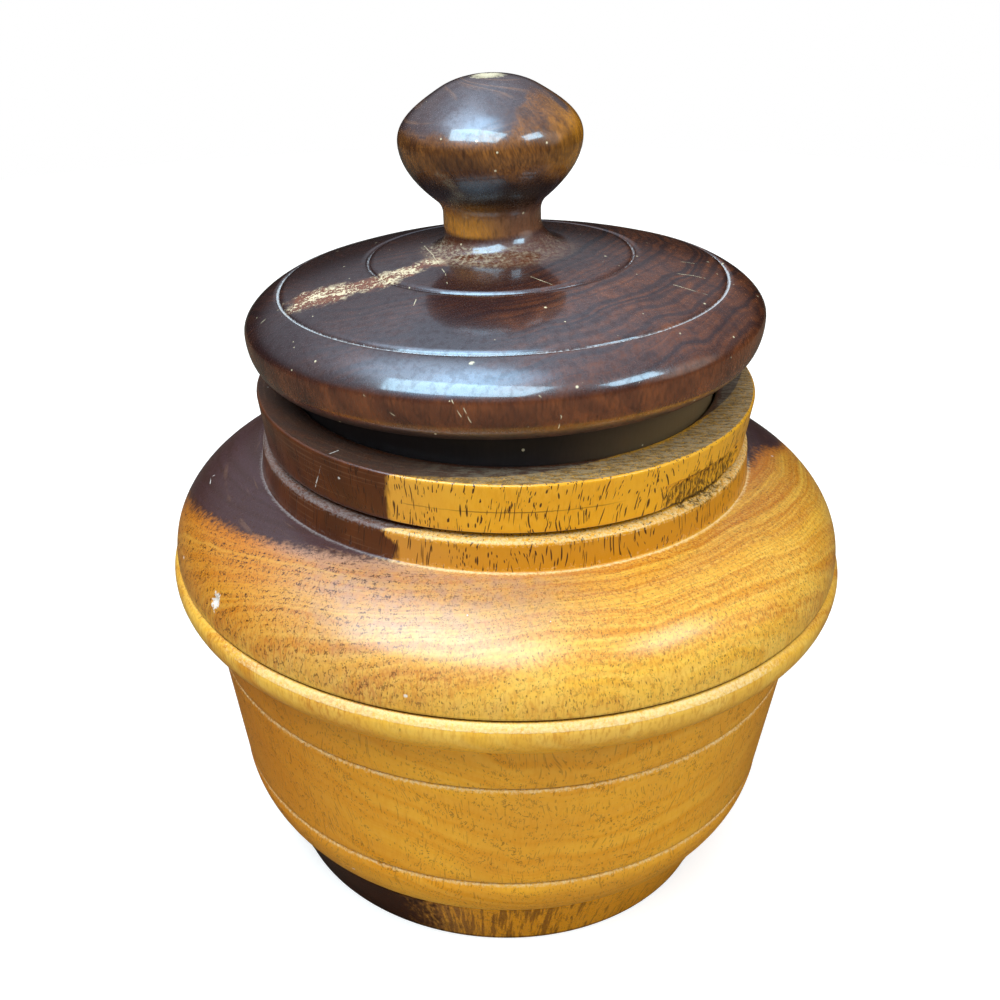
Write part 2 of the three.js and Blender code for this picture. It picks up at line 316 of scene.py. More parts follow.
def draw_rim(outline):
    outer_edge = (RIM_RADIUS - RIM_EDGE, RIM_HEIGHT - RIM_EDGE)
    outline.mark(dust=0.3)
    outline.round(outer_edge, RIM_EDGE, 20, 60, step=0.2)
    outline.mark(dust=1)
    outline.round(outer_edge, RIM_EDGE, 75, 90, step=0.2)
    outline.line(MOUTH_RADIUS + 1.2, RIM_HEIGHT, step=0.8)
    # Dirt and painted shade towards the mouth, under the lid's edge
    outline.mark(dust=0.4, grime=0.5)
    outline.line(MOUTH_RADIUS + 0.3, RIM_HEIGHT, step=0.8)
    outline.mark(grime=1)
    outline.round((MOUTH_RADIUS + 0.3, RIM_HEIGHT - 0.3), 0.3, 90, 180, step=0.2)


def draw_hollow(outline):
    lip = (MOUTH_RADIUS + MOUTH_LIP, CEILING_HEIGHT + MOUTH_LIP)
    # Painted shade just inside the mouth
    outline.mark(raw=1, grime=0.6)
    outline.line(MOUTH_RADIUS, lip[1] + 0.1, step=2)
    outline.mark(raw=1)
    outline.round(lip, MOUTH_LIP, 180, 270, step=0.8)
    outline.oval(CROWN_CENTRE, CROWN_REACH, CROWN_RISE, 88, 0, step=2)
    outline.line(HOLLOW_SIDE_RADIUS, CORNER_CENTRE[1] + 0.5, step=3)
    outline.round(CORNER_CENTRE, CORNER_ROUND, 0, -90, step=2)
    outline.line(0, CORNER_CENTRE[1] - CORNER_ROUND, step=4)


def dome(radius):
    """Height of the lid's domed top at a radius."""
    return DOME_TOP - DOME_RADIUS + math.sqrt(DOME_RADIUS ** 2 - radius ** 2)


def draw_plug(outline):
    foot = -LID_STAND - PLUG_DEPTH
    outline.mark(raw=1)
    outline.to(0, foot)
    outline.line(PLUG_FOOT_RADIUS - PLUG_EDGE, foot, step=3)
    outline.mark(raw=0.8, dust=0.3)
    outline.round((PLUG_FOOT_RADIUS - PLUG_EDGE, foot + PLUG_EDGE), PLUG_EDGE, -90, 0)
    # Painted shade on the plug's side and where the lid's underside leaves it, in the mouth
    outline.mark(raw=0.8, grime=0.4)
    outline.line(PLUG_TOP_RADIUS, -0.3, step=1.2)
    outline.mark(raw=0.7, grime=1)
    outline.line(PLUG_TOP_RADIUS + 0.3, 0, step=0.3)
    outline.mark(grime=0.6)
    outline.line(LID_UNDER_CENTRE[0] - 2.0, 0, step=0.8)


def draw_lid_bead(outline):
    inner = (OUTER_RING_RADIUS + RING_HALF_WIDTH, dome(OUTER_RING_RADIUS + RING_HALF_WIDTH))
    rise = inner[1] - LID_WIDEST_HEIGHT
    inward = LID_RADIUS - inner[0]
    outline.mark()
    outline.oval(LID_UNDER_CENTRE, LID_UNDER_REACH, LID_UNDER_DROP, -100, 0, step=0.5)
    above_widest = (LID_RADIUS, LID_WIDEST_HEIGHT + rise * 0.42)
    below_ring = (inner[0] + inward * 0.3, inner[1] - rise * 0.12)
    outline.sweep(above_widest, below_ring, inner, step=0.5)


def draw_scribed_ring(outline, radius):
    outline.trace(SCRIBED_RING, radius, dome(radius))
    outline.mark()


def draw_dome(outline):
    centre = (0, DOME_TOP - DOME_RADIUS)

    def bearing(radius):
        return math.degrees(math.acos(radius / DOME_RADIUS))

    draw_scribed_ring(outline, OUTER_RING_RADIUS)
    outer = bearing(OUTER_RING_RADIUS - RING_HALF_WIDTH)
    inner = bearing(INNER_RING_RADIUS + RING_HALF_WIDTH)
    outline.round(centre, DOME_RADIUS, outer, inner, step=0.9)
    draw_scribed_ring(outline, INNER_RING_RADIUS)
    outer = bearing(INNER_RING_RADIUS - RING_HALF_WIDTH)
    inner = bearing(STEM_RADIUS + FLARE + 0.4)
    outline.round(centre, DOME_RADIUS, outer, inner, step=0.8)


def draw_stem(outline):
    flare = (STEM_RADIUS + FLARE, dome(STEM_RADIUS + FLARE) + FLARE)
    outline.mark(dust=0.35)
    outline.round(flare, FLARE, 270, 180, step=0.5)
    outline.mark()
    outline.round((STEM_RADIUS + THROAT, flare[1] + STEM_LENGTH), THROAT, 180, 180 - THROAT_DEG, step=0.5)


def draw_knob(outline):
    start = outline.points[-1]
    widest = start[1] + KNOB_UNDER_HEIGHT
    shoulder = widest + KNOB_SHOULDER_HEIGHT
    top = shoulder + KNOB_CROWN_HEIGHT
    lean = math.radians(THROAT_DEG)
    reach = KNOB_UNDER_HEIGHT * 0.4
    inward = KNOB_RADIUS + (KNOB_SHOULDER_RADIUS - KNOB_RADIUS) * 0.45
    outline.sweep(
        (start[0] + reach * math.sin(lean), start[1] + reach * math.cos(lean)),
        (KNOB_RADIUS, widest - reach), (KNOB_RADIUS, widest), step=0.6)
    outline.sweep(
        (KNOB_RADIUS, widest + KNOB_SHOULDER_HEIGHT * 0.42),
        (inward, shoulder - KNOB_SHOULDER_HEIGHT * 0.3), (KNOB_SHOULDER_RADIUS, shoulder), step=0.6)
    outline.sweep(
        (KNOB_SHOULDER_RADIUS * 0.7, shoulder + KNOB_CROWN_HEIGHT * 0.75),
        (KNOB_SHOULDER_RADIUS * 0.35, top), (0, top), step=0.6)


def turn(strokes):
    """Spins the outline that the strokes draw about the axis, and closes it."""
    outline = Outline()
    for draw in strokes:
        draw(outline)
    shape = bmesh.new()
    layers = {name: shape.verts.layers.float.new(name) for name in MARKS}
    last = None
    for radius, height, marks in outline.points:
        vert = shape.verts.new((radius, 0, height))
        for name, amount in marks.items():
            vert[layers[name]] = amount
        if last:
            shape.edges.new((last, vert))
        last = vert
    bmesh.ops.spin(
        shape, geom=shape.verts[:] + shape.edges[:], cent=(0, 0, 0), axis=(0, 0, 1),
        angle=math.tau, steps=TURN_STEPS, use_merge=True)
    bmesh.ops.remove_doubles(shape, verts=shape.verts, dist=0.002)
    bmesh.ops.recalc_face_normals(shape, faces=shape.faces)
    return shape


def press(shape, centre, reach, depth, towards):
    """Presses a small hollow into the surface."""
    for vert in shape.verts:
        near = (vert.co - Vector(centre)).length / reach
        if near < 1:
            vert.co += Vector(towards).normalized() * depth * (1 - near ** 2) ** 2


def refine(shape, centre, reach, cuts):
    """Gives the surface near a small mark more vertices to shape it with."""
    near = [e for e in shape.edges if all((v.co - Vector(centre)).length < reach for v in e.verts)]
    bmesh.ops.subdivide_edges(shape, edges=near, cuts=cuts, use_grid_fill=True)


def make_piece(shape, name):
    """Turns the finished shape, still in millimetres, into an object at the origin, in metres."""
    bmesh.ops.scale(shape, vec=(MM, MM, MM), verts=shape.verts)
    for face in shape.faces:
        face.smooth = True
    mesh = bpy.data.meshes.new(name)
    shape.to_mesh(mesh)
    shape.free()
    piece = bpy.data.objects.new(name, mesh)
    bpy.context.scene.collection.objects.link(piece)
    return piece


def tear_groove(shape):
    """Breaks the groove between the bands away at the right, where the wood has torn out along its fibres."""
    middle_height = (TORN_HEIGHTS[0] + TORN_HEIGHTS[1]) / 2
    half_height = (TORN_HEIGHTS[1] - TORN_HEIGHTS[0]) / 2
    middle = math.radians(TORN_MIDDLE_DEG)
    centre = (BAND_RADIUS * math.sin(middle), -BAND_RADIUS * math.cos(middle), middle_height)
    refine(shape, centre, reach=12.0, cuts=2)
    for vert in shape.verts:
        radius = math.hypot(vert.co.x, vert.co.y)
        azimuth = math.degrees(math.atan2(vert.co.x, -vert.co.y))
        along = abs(azimuth - TORN_MIDDLE_DEG) / TORN_HALF_WIDTH_DEG
        across = abs(vert.co.z - middle_height) / half_height
        if radius < BAND_CUT_RADIUS - 0.5 or max(along, across) > 1:
            continue
        share = (1 - along ** 4) * (1 - across ** 4)
        fibre = noise.fractal(vert.co * TORN_FIBRES, 1.0, 2.0, 3)
        torn_radius = BAND_RADIUS - TORN_DEPTH + fibre * TORN_DEPTH
        wanted = radius + (torn_radius - radius) * share
        vert.co.x *= wanted / radius
        vert.co.y *= wanted / radius


def make_body():
    shape = turn([draw_foot, draw_bowl, draw_bead, draw_shoulder, draw_neck, draw_rim, draw_hollow])
    refine(shape, CHIP, reach=3.5, cuts=4)
    press(shape, CHIP, reach=1.3, depth=0.7, towards=(0.7, 0.6, -0.35))
    tear_groove(shape)
    return make_piece(shape, "turned_body")


def lid_seat():
    """Where the lid sits in the mouth, leaning up towards its raised side."""
    raised = math.radians(LID_RAISED_SIDE_DEG)
    hinge = Vector((math.sin(raised), -math.cos(raised), 0))
    lean = Matrix.Rotation(math.radians(LID_TILT_DEG), 4, hinge)
    return Matrix.Translation((0, 0, RIM_HEIGHT)) @ lean @ Matrix.Translation((0, 0, LID_STAND))


def make_lid():
    shape = turn([draw_plug, draw_lid_bead, draw_dome, draw_stem, draw_knob])
    flare_height = dome(STEM_RADIUS + FLARE)
    for vert in shape.verts:
        share = min(1, max(0, (vert.co.z - flare_height) / FLARE))
        vert.co.x -= STEM_OFFSET * share
    bmesh.ops.transform(shape, matrix=lid_seat(), verts=shape.verts)
    refine(shape, KNOB_DIP, reach=3.5, cuts=2)
    press(shape, KNOB_DIP, reach=2.4, depth=0.45, towards=(0.2, 0.3, -1))
    return make_piece(shape, "turned_lid")


def srgb(red, green, blue):
    """A colour as it is seen, from 0 to 255, made linear."""
    def linear(value):
        share = value / 255
        return share / 12.92 if share <= 0.04045 else ((share + 0.055) / 1.055) ** 2.4
    return linear(red), linear(green), linear(blue), 1.0


# Colours of the body's wood
SAP_DEEP = srgb(220, 142, 22)
SAP_GOLD = srgb(245, 184, 56)
SAP_PALE = srgb(250, 202, 90)
GRAIN_ORANGE = srgb(198, 114, 22)
EDGE_PINK = srgb(174, 130, 106)
BOWL_GOLD = srgb(236, 156, 20)
BOWL_SIDE = srgb(196, 112, 2)
NECK_GOLD = srgb(242, 169, 8)
NECK_LOW = srgb(196, 122, 4)
FOOT_BROWN = srgb(234, 152, 8)
HEART_PURPLE = srgb(62, 42, 46)
HEART_BROWN = srgb(96, 46, 12)
HEART_RED = srgb(60, 22, 8)
PORE_DARK = srgb(64, 30, 8)
DARKEST_BROWN = srgb(36, 18, 6)
# Near black brown: darker heartwood rings and grain, and dirt with painted shade in the cuts
DUST_WARM = srgb(244, 214, 156)
DUST_COOL = srgb(150, 141, 138)
FINE_SCORE = srgb(160, 116, 84)
RAW_WOOD = srgb(150, 104, 58)
RIM_DUST = srgb(140, 134, 116)
RIM_DARK = srgb(52, 49, 45)
TORN_WOOD = srgb(146, 108, 44)
TORN_DARK = srgb(70, 48, 22)
SPECK_WHITE = srgb(235, 232, 225)

# Colours of the lid's wood
LID_DARK = srgb(44, 24, 24)
LID_BROWN = srgb(96, 54, 36)
# Orange-brown: lid rings, the worn stripe and flare, and a painted reflection on the bead's lower side
LID_ORANGE_BROWN = srgb(146, 80, 40)
KNOB_BROWN = srgb(58, 30, 18)
KNOB_ORANGE = srgb(156, 98, 42)
# Near black: the knob's darker underside, with painted shade
KNOB_BELOW_SHADED = srgb(18, 9, 6)
KNOB_CAP = srgb(66, 50, 52)
STEM_BROWN = srgb(128, 84, 58)
STEM_GOLD = srgb(232, 152, 36)
LID_DUST = srgb(190, 192, 194)
FLARE_DUST = srgb(206, 194, 164)
STRIPE_CREAM = srgb(240, 228, 190)
# Near black: the plug's dark wood, with painted shade at the left
PLUG_IN_SHADE = srgb(22, 16, 12)
PLUG_OLIVE = srgb(138, 112, 70)

POLISH_IOR = 1.65

# Growth of the tree: its middle as the rings and the heartwood show it, and the way its fibres run
RING_CENTRE = (-5.0, 14.0, 0.0)
HEART_CENTRE = (-7.0, 12.0, 0.0)
HEART_RADIUS = 54.0
LID_RING_CENTRE = (-16, 12, 0)
RING_LEAN = 0.3
RING_LEAN_TOP = 52
ALONG_GRAIN = (1, 1, 0.22)

# Zones of the body, as heights. Each pair is where a zone's mask starts to change and where it has changed.
FOOT_END = (13.0, 12.3)
BOWL_END = (61, 57)
BEAD_START = (59, 60)
BEAD_END = (67, 66)
SHOULDER_START = (63, 66)
SHOULDER_END = (79.5, 78.8)
NECK_START = (79.0, 79.6)
RIM_START = (93.6, 93.9)
BAND_CRACK_HEIGHT = 89.45

# Zones of the lid, as heights on the lathe above its underside, or above the table for the knob's colours
BEAD_UNDERSIDE = (0.6, -1.2)
STEM_START = (19, 20)
FLARE_END = (20.5, 17.5)
STEM_END = (127.5, 123.0)
KNOB_UNDERSIDE = (133.5, 128.5)
CAP_EDGE_HEIGHT = 139.2
CAP_EDGE_SLOPE = 0.13
CAP_NOTCH = 3.6

# Sizes of the pores and specks
LONG_PORES = {"Spacing": 0.42, "Stretch": 0.045, "Size": 0.32}
SHORT_PORES = {"Spacing": 0.36, "Stretch": 0.3, "Size": 0.34}
BODY_SPECKS = {"Spacing": 6.0, "Size": 0.035, "Presence": 0.3}
LID_SPECKS = {"Spacing": 2.6, "Size": 0.085, "Presence": 0.6}

# Ragged patches: where each is, how far it reaches, and how ragged it is
TORN_PATCH = {"Centre": (33, -27, 87.2), "Reach": (11, 11, 3.6), "Ragged": 0.6, "Grain": 0.7}
CHIP_PATCH = {"Centre": CHIP, "Reach": (1.1, 1.1, 1.5), "Ragged": 1.2, "Grain": 1.9}
DIP_PATCH = {"Centre": KNOB_DIP, "Reach": (3.0, 2.4, 1.0), "Ragged": 0.4, "Grain": 1.2}

# Lines on the surface. Each starts with its half width, and goes on with its points.
BODY_HAIRS = (
    (0.14, (-52.5, -8.8, 75.8), (-53.0, -6.1, 75.7), (-52.2, -6.1, 76.2)),
    (0.15, (-25.6, -32.2, 94.2), (-27.1, -33.7, 94.0), (-28.5, -32.2, 91.0), (-29.8, -30.4, 86.9)),
    (0.35, (-54.9, -22.7, 68.7), (-54.8, -22.9, 68.7)),
    (0.35, (-13.8, -58.2, 66.7), (-13.6, -58.2, 66.7)),
    (0.3, (48.8, 0.7, 77.9), (48.9, 0.8, 77.9)),
    (0.35, (-25.3, -42.8, 17.4), (-25.2, -42.9, 17.4)),
    (0.3, (-25.3, -34.8, 90.7), (-25.2, -34.9, 90.8)),
)
BODY_CRACKS = (
    (0.25, (-50.2, -33.0, 63.2), (-51.3, -32.5, 61.2)),
    (0.25, (-14.5, -58.9, 61.2), (-14.6, -58.7, 59.6)),
)
LID_HAIRS = (
    (0.11, (0.1, -12.3, 117.5), (7.5, -19.1, 116.7)),
    (0.09, (26.9, -14.0, 115.0), (32.1, -14.9, 113.7)),
    (0.09, (27.8, -8.6, 115.3), (32.7, -7.8, 114.2)),
    (0.09, (28.7, -2.4, 115.2), (31.9, -1.1, 114.5)),
    (0.12, (-14.4, 4.6, 116.4), (-11.8, -4.5, 117.0), (-9.4, -13.3, 116.8), (-8.9, -17.5, 116.4)),
    (0.09, (-13.8, -23.4, 114.9), (-13.4, -19.3, 115.6)),
    (0.13, (-40.5, -14.5, 108.1), (-37.0, -13.2, 110.4), (-35.7, -13.8, 110.7)),
    (0.12, (4.7, -43.4, 109.1), (8.4, -43.0, 105.2), (8.0, -42.0, 101.5)),
    (0.09, (-7.3, -43.4, 108.0), (-5.8, -43.7, 105.4)),
    (0.09, (-5.4, -43.7, 106.7), (-4.0, -43.7, 103.6)),
    (0.09, (-20.3, -39.3, 106.7), (-15.5, -41.2, 104.2)),
    (0.45, (-4.5, -39.2, 111.6), (-4.3, -39.2, 111.6)),
)
LID_STRIPE = (
    (4.6, (-32.5, -13.2, 112.0), (-27.0, -13.4, 113.6)),
    (3.8, (-27.0, -13.4, 113.6), (-19.0, -12.4, 115.5)),
    (3.0, (-19.0, -12.4, 115.5), (-12.0, -8.0, 117.0)),
)


class Bench:
    """Places nodes in one tree. A value may be a number, a colour, or another node's output."""

    def __init__(self, tree):
        self.tree = tree

    def feed(self, socket, value):
        if isinstance(value, bpy.types.NodeSocket):
            self.tree.links.new(value, socket)
        else:
            socket.default_value = value

    def place(self, kind, inputs=None, **settings):
        node = self.tree.nodes.new(kind)
        for name, value in settings.items():
            setattr(node, name, value)
        for key, value in (inputs or {}).items():
            self.feed(node.inputs[key], value)
        return node

    def math(self, operation, *values, clamp=False):
        inputs = dict(enumerate(values))
        return self.place("ShaderNodeMath", inputs, operation=operation, use_clamp=clamp).outputs[0]

    def chain(self, operation, result, *others):
        """One operation over two values or more, from the left."""
        for other in others:
            result = self.math(operation, result, other)
        return result

    def add(self, *values):
        return self.chain("ADD", *values)

    def subtract(self, *values):
        return self.chain("SUBTRACT", *values)

    def times(self, *values):
        return self.chain("MULTIPLY", *values)

    def highest(self, *values):
        return self.chain("MAXIMUM", *values)

    def vector(self, operation, *values):
        return self.place("ShaderNodeVectorMath", dict(enumerate(values)), operation=operation).outputs[0]

    def measure(self, operation, *values):
        """A vector operation that gives a number, such as LENGTH."""
        node = self.place("ShaderNodeVectorMath", dict(enumerate(values)), operation=operation)
        return node.outputs["Value"]

    def stretch(self, position, by):
        return self.vector("MULTIPLY", position, by)

    def from_axis(self, position):
        """How far a point is from the upright axis."""
        return self.measure("LENGTH", self.stretch(position, (1, 1, 0)))

    def ease(self, value, start, end, low=0.0, high=1.0):
        """Goes smoothly from low, at start, to high, at end."""
        inputs = {"Value": value, "From Min": start, "From Max": end, "To Min": low, "To Max": high}
        return self.place("ShaderNodeMapRange", inputs, interpolation_type="SMOOTHSTEP").outputs["Result"]

    def noise(self, position, size, detail=2.0, roughness=0.5, output="Fac"):
        inputs = {"Vector": position, "Scale": 1 / size, "Detail": detail, "Roughness": roughness}
        return self.place("ShaderNodeTexNoise", inputs).outputs[output]

    def noise_along(self, distance, scale, detail):
        """A noise that changes along one distance only."""
        inputs = {"W": distance, "Scale": scale, "Detail": detail}
        return self.place("ShaderNodeTexNoise", inputs, noise_dimensions="1D").outputs["Fac"]

    def swing(self, position, size, detail=2.0, roughness=0.5):
        """A noise about zero."""
        return self.subtract(self.noise(position, size, detail, roughness), 0.5)

    def stray(self, position, size, reach, detail=2.0, roughness=0.5):
        """An offset that changes from place to place, up to half the reach either way."""
        drawn = self.noise(position, size, detail, roughness, output="Color")
        return self.stretch(self.vector("SUBTRACT", drawn, (0.5, 0.5, 0.5)), reach)

    def mix(self, factor, a, b):
        return self.place("ShaderNodeMix", {0: factor, 6: a, 7: b}, data_type="RGBA").outputs[2]

    def split(self, value):
        return self.place("ShaderNodeSeparateXYZ", {0: value}).outputs

    def join(self, x, y, z):
        return self.place("ShaderNodeCombineXYZ", {0: x, 1: y, 2: z}).outputs[0]

    def mark(self, name):
        return self.place("ShaderNodeAttribute", attribute_name=name).outputs["Fac"]

    def use(self, group, **inputs):
        node = self.place("ShaderNodeGroup", node_tree=group)
        for key, value in inputs.items():
            self.feed(node.inputs[key.replace("_", " ")], value)
        return node.outputs


def new_group(name, takes, gives):
    """A node group's bench, its inputs and its outputs. It takes vectors and numbers, and gives numbers."""
    tree = bpy.data.node_groups.new(name, "ShaderNodeTree")
    for label, value in takes.items():
        kind = "NodeSocketVector" if isinstance(value, tuple) else "NodeSocketFloat"
        tree.interface.new_socket(name=label, in_out="INPUT", socket_type=kind).default_value = value
    for label in gives:
        tree.interface.new_socket(name=label, in_out="OUTPUT", socket_type="NodeSocketFloat")
    bench = Bench(tree)
    return bench, bench.place("NodeGroupInput").outputs, bench.place("NodeGroupOutput").inputs


def make_growth_rings():
    """Distance from the tree's heart, and the light and dark bands that follow it."""
    bench, given, result = new_group(
        "Growth rings",
        {"Position": (0, 0, 0), "Centre": (0, 0, 0), "Ring width": 3.0, "Wander": 1.0, "Lean": 0.0},
        ["Distance", "Band", "Line"])
    from_centre = bench.vector("SUBTRACT", given["Position"], given["Centre"])
    drawn_out = bench.stretch(given["Position"], (1, 1, 0.4))
    sway = bench.times(bench.swing(drawn_out, 22), 2.0)
    ripple = bench.times(bench.swing(drawn_out, 4.5, 1.0), 0.25)
    wander = bench.times(bench.add(sway, ripple), given["Wander"])
    distance = bench.add(bench.from_axis(from_centre), wander, given["Lean"])
    rings = bench.math("DIVIDE", distance, given["Ring width"])
    bench.feed(result["Distance"], distance)
    bench.feed(result["Band"], bench.ease(bench.noise_along(rings, 1.0, 2.0), 0.32, 0.68))
    bench.feed(result["Line"], bench.ease(bench.noise_along(rings, 6.0, 2.0), 0.3, 0.7))
    return bench.tree


def make_pores():
    """Open pores of the wood: dots across the grain, long streaks along it."""
    bench, given, result = new_group(
        "Pores",
        {"Position": (0, 0, 0), "Spacing": 1.2, "Stretch": 0.1, "Size": 0.12, "Presence": 0.8},
        ["Mask"])
    sway = bench.stray(bench.stretch(given["Position"], (1, 1, 0.6)), 9, (7, 7, 0), 1.0)
    swayed = bench.vector("ADD", given["Position"], sway)
    cells = bench.math("DIVIDE", 1.0, given["Spacing"])
    grid = bench.stretch(swayed, bench.join(cells, cells, bench.times(cells, given["Stretch"])))
    pore = bench.place("ShaderNodeTexVoronoi", {"Vector": grid, "Scale": 1.0}).outputs
    chosen = bench.math("LESS_THAN", bench.split(pore["Color"])[0], given["Presence"])
    dot = bench.ease(pore["Distance"], bench.times(given["Size"], 0.55), given["Size"], 1.0, 0.0)
    bench.feed(result["Mask"], bench.times(dot, chosen))
    return bench.tree


def make_specks():
    """Small specks of dust, scattered at random."""
    bench, given, result = new_group(
        "Specks", {"Position": (0, 0, 0), "Spacing": 6.0, "Size": 0.04, "Presence": 0.5}, ["Mask"])
    cells = bench.math("DIVIDE", 1.0, given["Spacing"])
    grid = bench.stretch(given["Position"], bench.join(cells, cells, cells))
    speck = bench.place("ShaderNodeTexVoronoi", {"Vector": grid, "Scale": 1.0}).outputs
    draw = bench.split(speck["Color"])
    chosen = bench.math("LESS_THAN", draw[0], given["Presence"])
    size = bench.times(given["Size"], bench.add(draw[1], 0.35))
    dot = bench.ease(speck["Distance"], bench.times(size, 0.6), size, 1.0, 0.0)
    bench.feed(result["Mask"], bench.times(dot, chosen))
    return bench.tree


def make_turning_marks():
    """Fine circles that the tool and the polishing cloth leave on a turned surface."""
    bench, given, result = new_group("Turning marks", {"Position": (0, 0, 0), "Spacing": 0.5}, ["Height"])
    height = bench.split(given["Position"])[2]
    outward = bench.add(bench.from_axis(given["Position"]), bench.times(height, 1.37))
    circles = bench.noise_along(bench.math("DIVIDE", outward, given["Spacing"]), 1.0, 3.0)
    patches = bench.ease(bench.noise(given["Position"], 9), 0.35, 0.65)
    bench.feed(result["Height"], bench.times(bench.subtract(circles, 0.5), patches))
    return bench.tree


def make_line():
    """One line between two points."""
    bench, given, result = new_group(
        "Line", {"Position": (0, 0, 0), "Start": (0, 0, 0), "End": (1, 0, 0), "Width": 0.2}, ["Mask"])
    reach = bench.vector("SUBTRACT", given["End"], given["Start"])
    offset = bench.vector("SUBTRACT", given["Position"], given["Start"])
    along = bench.measure("DOT_PRODUCT", offset, reach)
    share = bench.math("DIVIDE", along, bench.measure("DOT_PRODUCT", reach, reach), clamp=True)
    nearest = bench.place("ShaderNodeVectorMath", {0: reach, "Scale": share}, operation="SCALE").outputs[0]
    gap = bench.measure("LENGTH", bench.vector("SUBTRACT", offset, nearest))
    bench.feed(result["Mask"], bench.ease(gap, bench.times(given["Width"], 0.4), given["Width"], 1.0, 0.0))
    return bench.tree


def make_spot():
    """A ragged patch about a point, such as a worn or torn place."""
    bench, given, result = new_group(
        "Spot",
        {"Position": (0, 0, 0), "Centre": (0, 0, 0), "Reach": (1, 1, 1), "Ragged": 0.3, "Grain": 1.0},
        ["Mask"])
    away = bench.vector("SUBTRACT", given["Position"], given["Centre"])
    share = bench.measure("LENGTH", bench.vector("DIVIDE", away, given["Reach"]))
    fine = bench.stretch(given["Position"], bench.join(given["Grain"], given["Grain"], given["Grain"]))
    ragged = bench.times(bench.swing(fine, 1.0, 3.0), bench.times(given["Ragged"], 2.0))
    bench.feed(result["Mask"], bench.ease(bench.add(share, ragged), 0.8, 1.05, 1.0, 0.0))
    return bench.tree


growth_rings = make_growth_rings()
pores = make_pores()
specks = make_specks()
turning_marks = make_turning_marks()
line_mask = make_line()
spot = make_spot()


def new_material(name):
    material = bpy.data.materials.new(name)
    material.use_nodes = True
    bench = Bench(material.node_tree)
    shader = material.node_tree.nodes["Principled BSDF"]
    coordinates = bench.place("ShaderNodeTexCoord").outputs["Object"]
    return material, bench, shader, bench.stretch(coordinates, (1 / MM, 1 / MM, 1 / MM))


def new_glow(name):
    """A material without a shader yet, and its output's socket."""
    material = bpy.data.materials.new(name)
    material.use_nodes = True
    nodes = material.node_tree.nodes
    nodes.remove(nodes["Principled BSDF"])
    return material, Bench(material.node_tree), nodes["Material Output"].inputs["Surface"]


def draw_lines(bench, position, lines):
    """All the lines of a list as one mask."""
    parts = []
    for half_width, *points in lines:
        for start, end in zip(points, points[1:]):
            ends = {"Start": start, "End": end, "Width": half_width}
            parts.append(bench.use(line_mask, Position=position, **ends)["Mask"])
    return bench.highest(*parts)


def draw_hairs(bench, place, lines):
    """Fine scratches and fibres: wavy lines, broken here and there."""
    wavy = bench.vector("ADD", place, bench.stray(place, 3.0, (0.6, 0.6, 0.6)))
    return bench.times(draw_lines(bench, wavy, lines), bench.ease(bench.noise(place, 0.8), 0.3, 0.46))


def scatter_flecks(bench, place):
    """How much more or less dust, and dirt with painted shade, there is at each place."""
    return bench.times(bench.swing(place, 0.5, 3.0, 0.7), 1.6)


def heart_gap(bench, place, distance):
    """How far outside the heartwood a point of the body is, in millimetres."""
    x, y, z = bench.split(place)
    to_right = bench.times(bench.ease(x, 10, 40), bench.ease(y, -6, 14))
    swell = bench.times(to_right, bench.ease(z, 79.5, 77), 6.0)
    foot = bench.times(bench.subtract(bench.times(z, 0.4), 2.4), bench.ease(z, 13, 12.4))
    low = bench.times(bench.ease(z, 12, 24), bench.ease(z, 72, 36))
    retreat = bench.times(bench.ease(x, -6, -30), low, 9.0)
    band_lift = bench.highest(bench.times(bench.subtract(z, 86), 0.14), 0.0)
    narrower = bench.add(bench.ease(z, 78.0, 79.4, 0.0, 0.9), bench.ease(z, 81.0, 85.5, 0.0, 1.3))
    narrower = bench.subtract(narrower, band_lift)
    off_shoulder = bench.add(bench.ease(z, 79.2, 80.2), bench.ease(z, 13, 12.4))
    right_shrink = bench.times(bench.ease(x, 0, 30), off_shoulder, 2.9)
    radius = bench.add(swell, foot, HEART_RADIUS)
    radius = bench.subtract(radius, bench.add(retreat, bench.add(narrower, right_shrink)))
    return bench.subtract(distance, radius)


def survey_body(bench, place):
    """What the steps of the body's wood share: the place, the zones, the rings, the heart and the grain."""
    x, y, z = bench.split(place)
    neck = bench.ease(z, *NECK_START)
    shoulder = bench.times(bench.ease(z, *SHOULDER_START), bench.ease(z, *SHOULDER_END))
    lean = bench.times(bench.math("MINIMUM", z, RING_LEAN_TOP), RING_LEAN)
    rings = {"Position": place, "Centre": RING_CENTRE, "Ring_width": 4.2, "Wander": 2.2, "Lean": lean}
    wander = bench.ease(neck, 0, 1, 1.1, 0.1)
    heart = bench.use(growth_rings, Position=place, Centre=HEART_CENTRE, Ring_width=2.6, Wander=wander)
    gap = heart_gap(bench, place, heart["Distance"])
    grain = bench.stretch(place, ALONG_GRAIN)
    return SimpleNamespace(
        place=place, x=x, y=y, z=z,
        foot=bench.ease(z, *FOOT_END), bowl=bench.ease(z, *BOWL_END), shoulder=shoulder, neck=neck,
        rings=bench.use(growth_rings, **rings), heart=heart, gap=gap,
        near_heart=bench.times(bench.ease(gap, 34, 4), shoulder),
        grain=grain, fine=bench.noise(grain, 0.4, 3.0, 0.6), mottle=bench.noise(grain, 1.6, 2.0, 0.6),
        broad=bench.noise(place, 24))


def streak_foot(bench, at):
    """Dark streaks that run down the foot's sloping side."""
    spread = bench.math("DIVIDE", FOOT_TOP[0], bench.from_axis(at.place))
    downward = bench.stretch(at.place, bench.join(spread, spread, 0.12))
    streaks = bench.add(bench.noise(downward, 0.9, 4.0, 0.65), bench.ease(at.gap, 9, 0, 0.0, 0.12))
    return bench.times(bench.ease(streaks, 0.53, 0.68, 0.0, 0.65), at.foot)


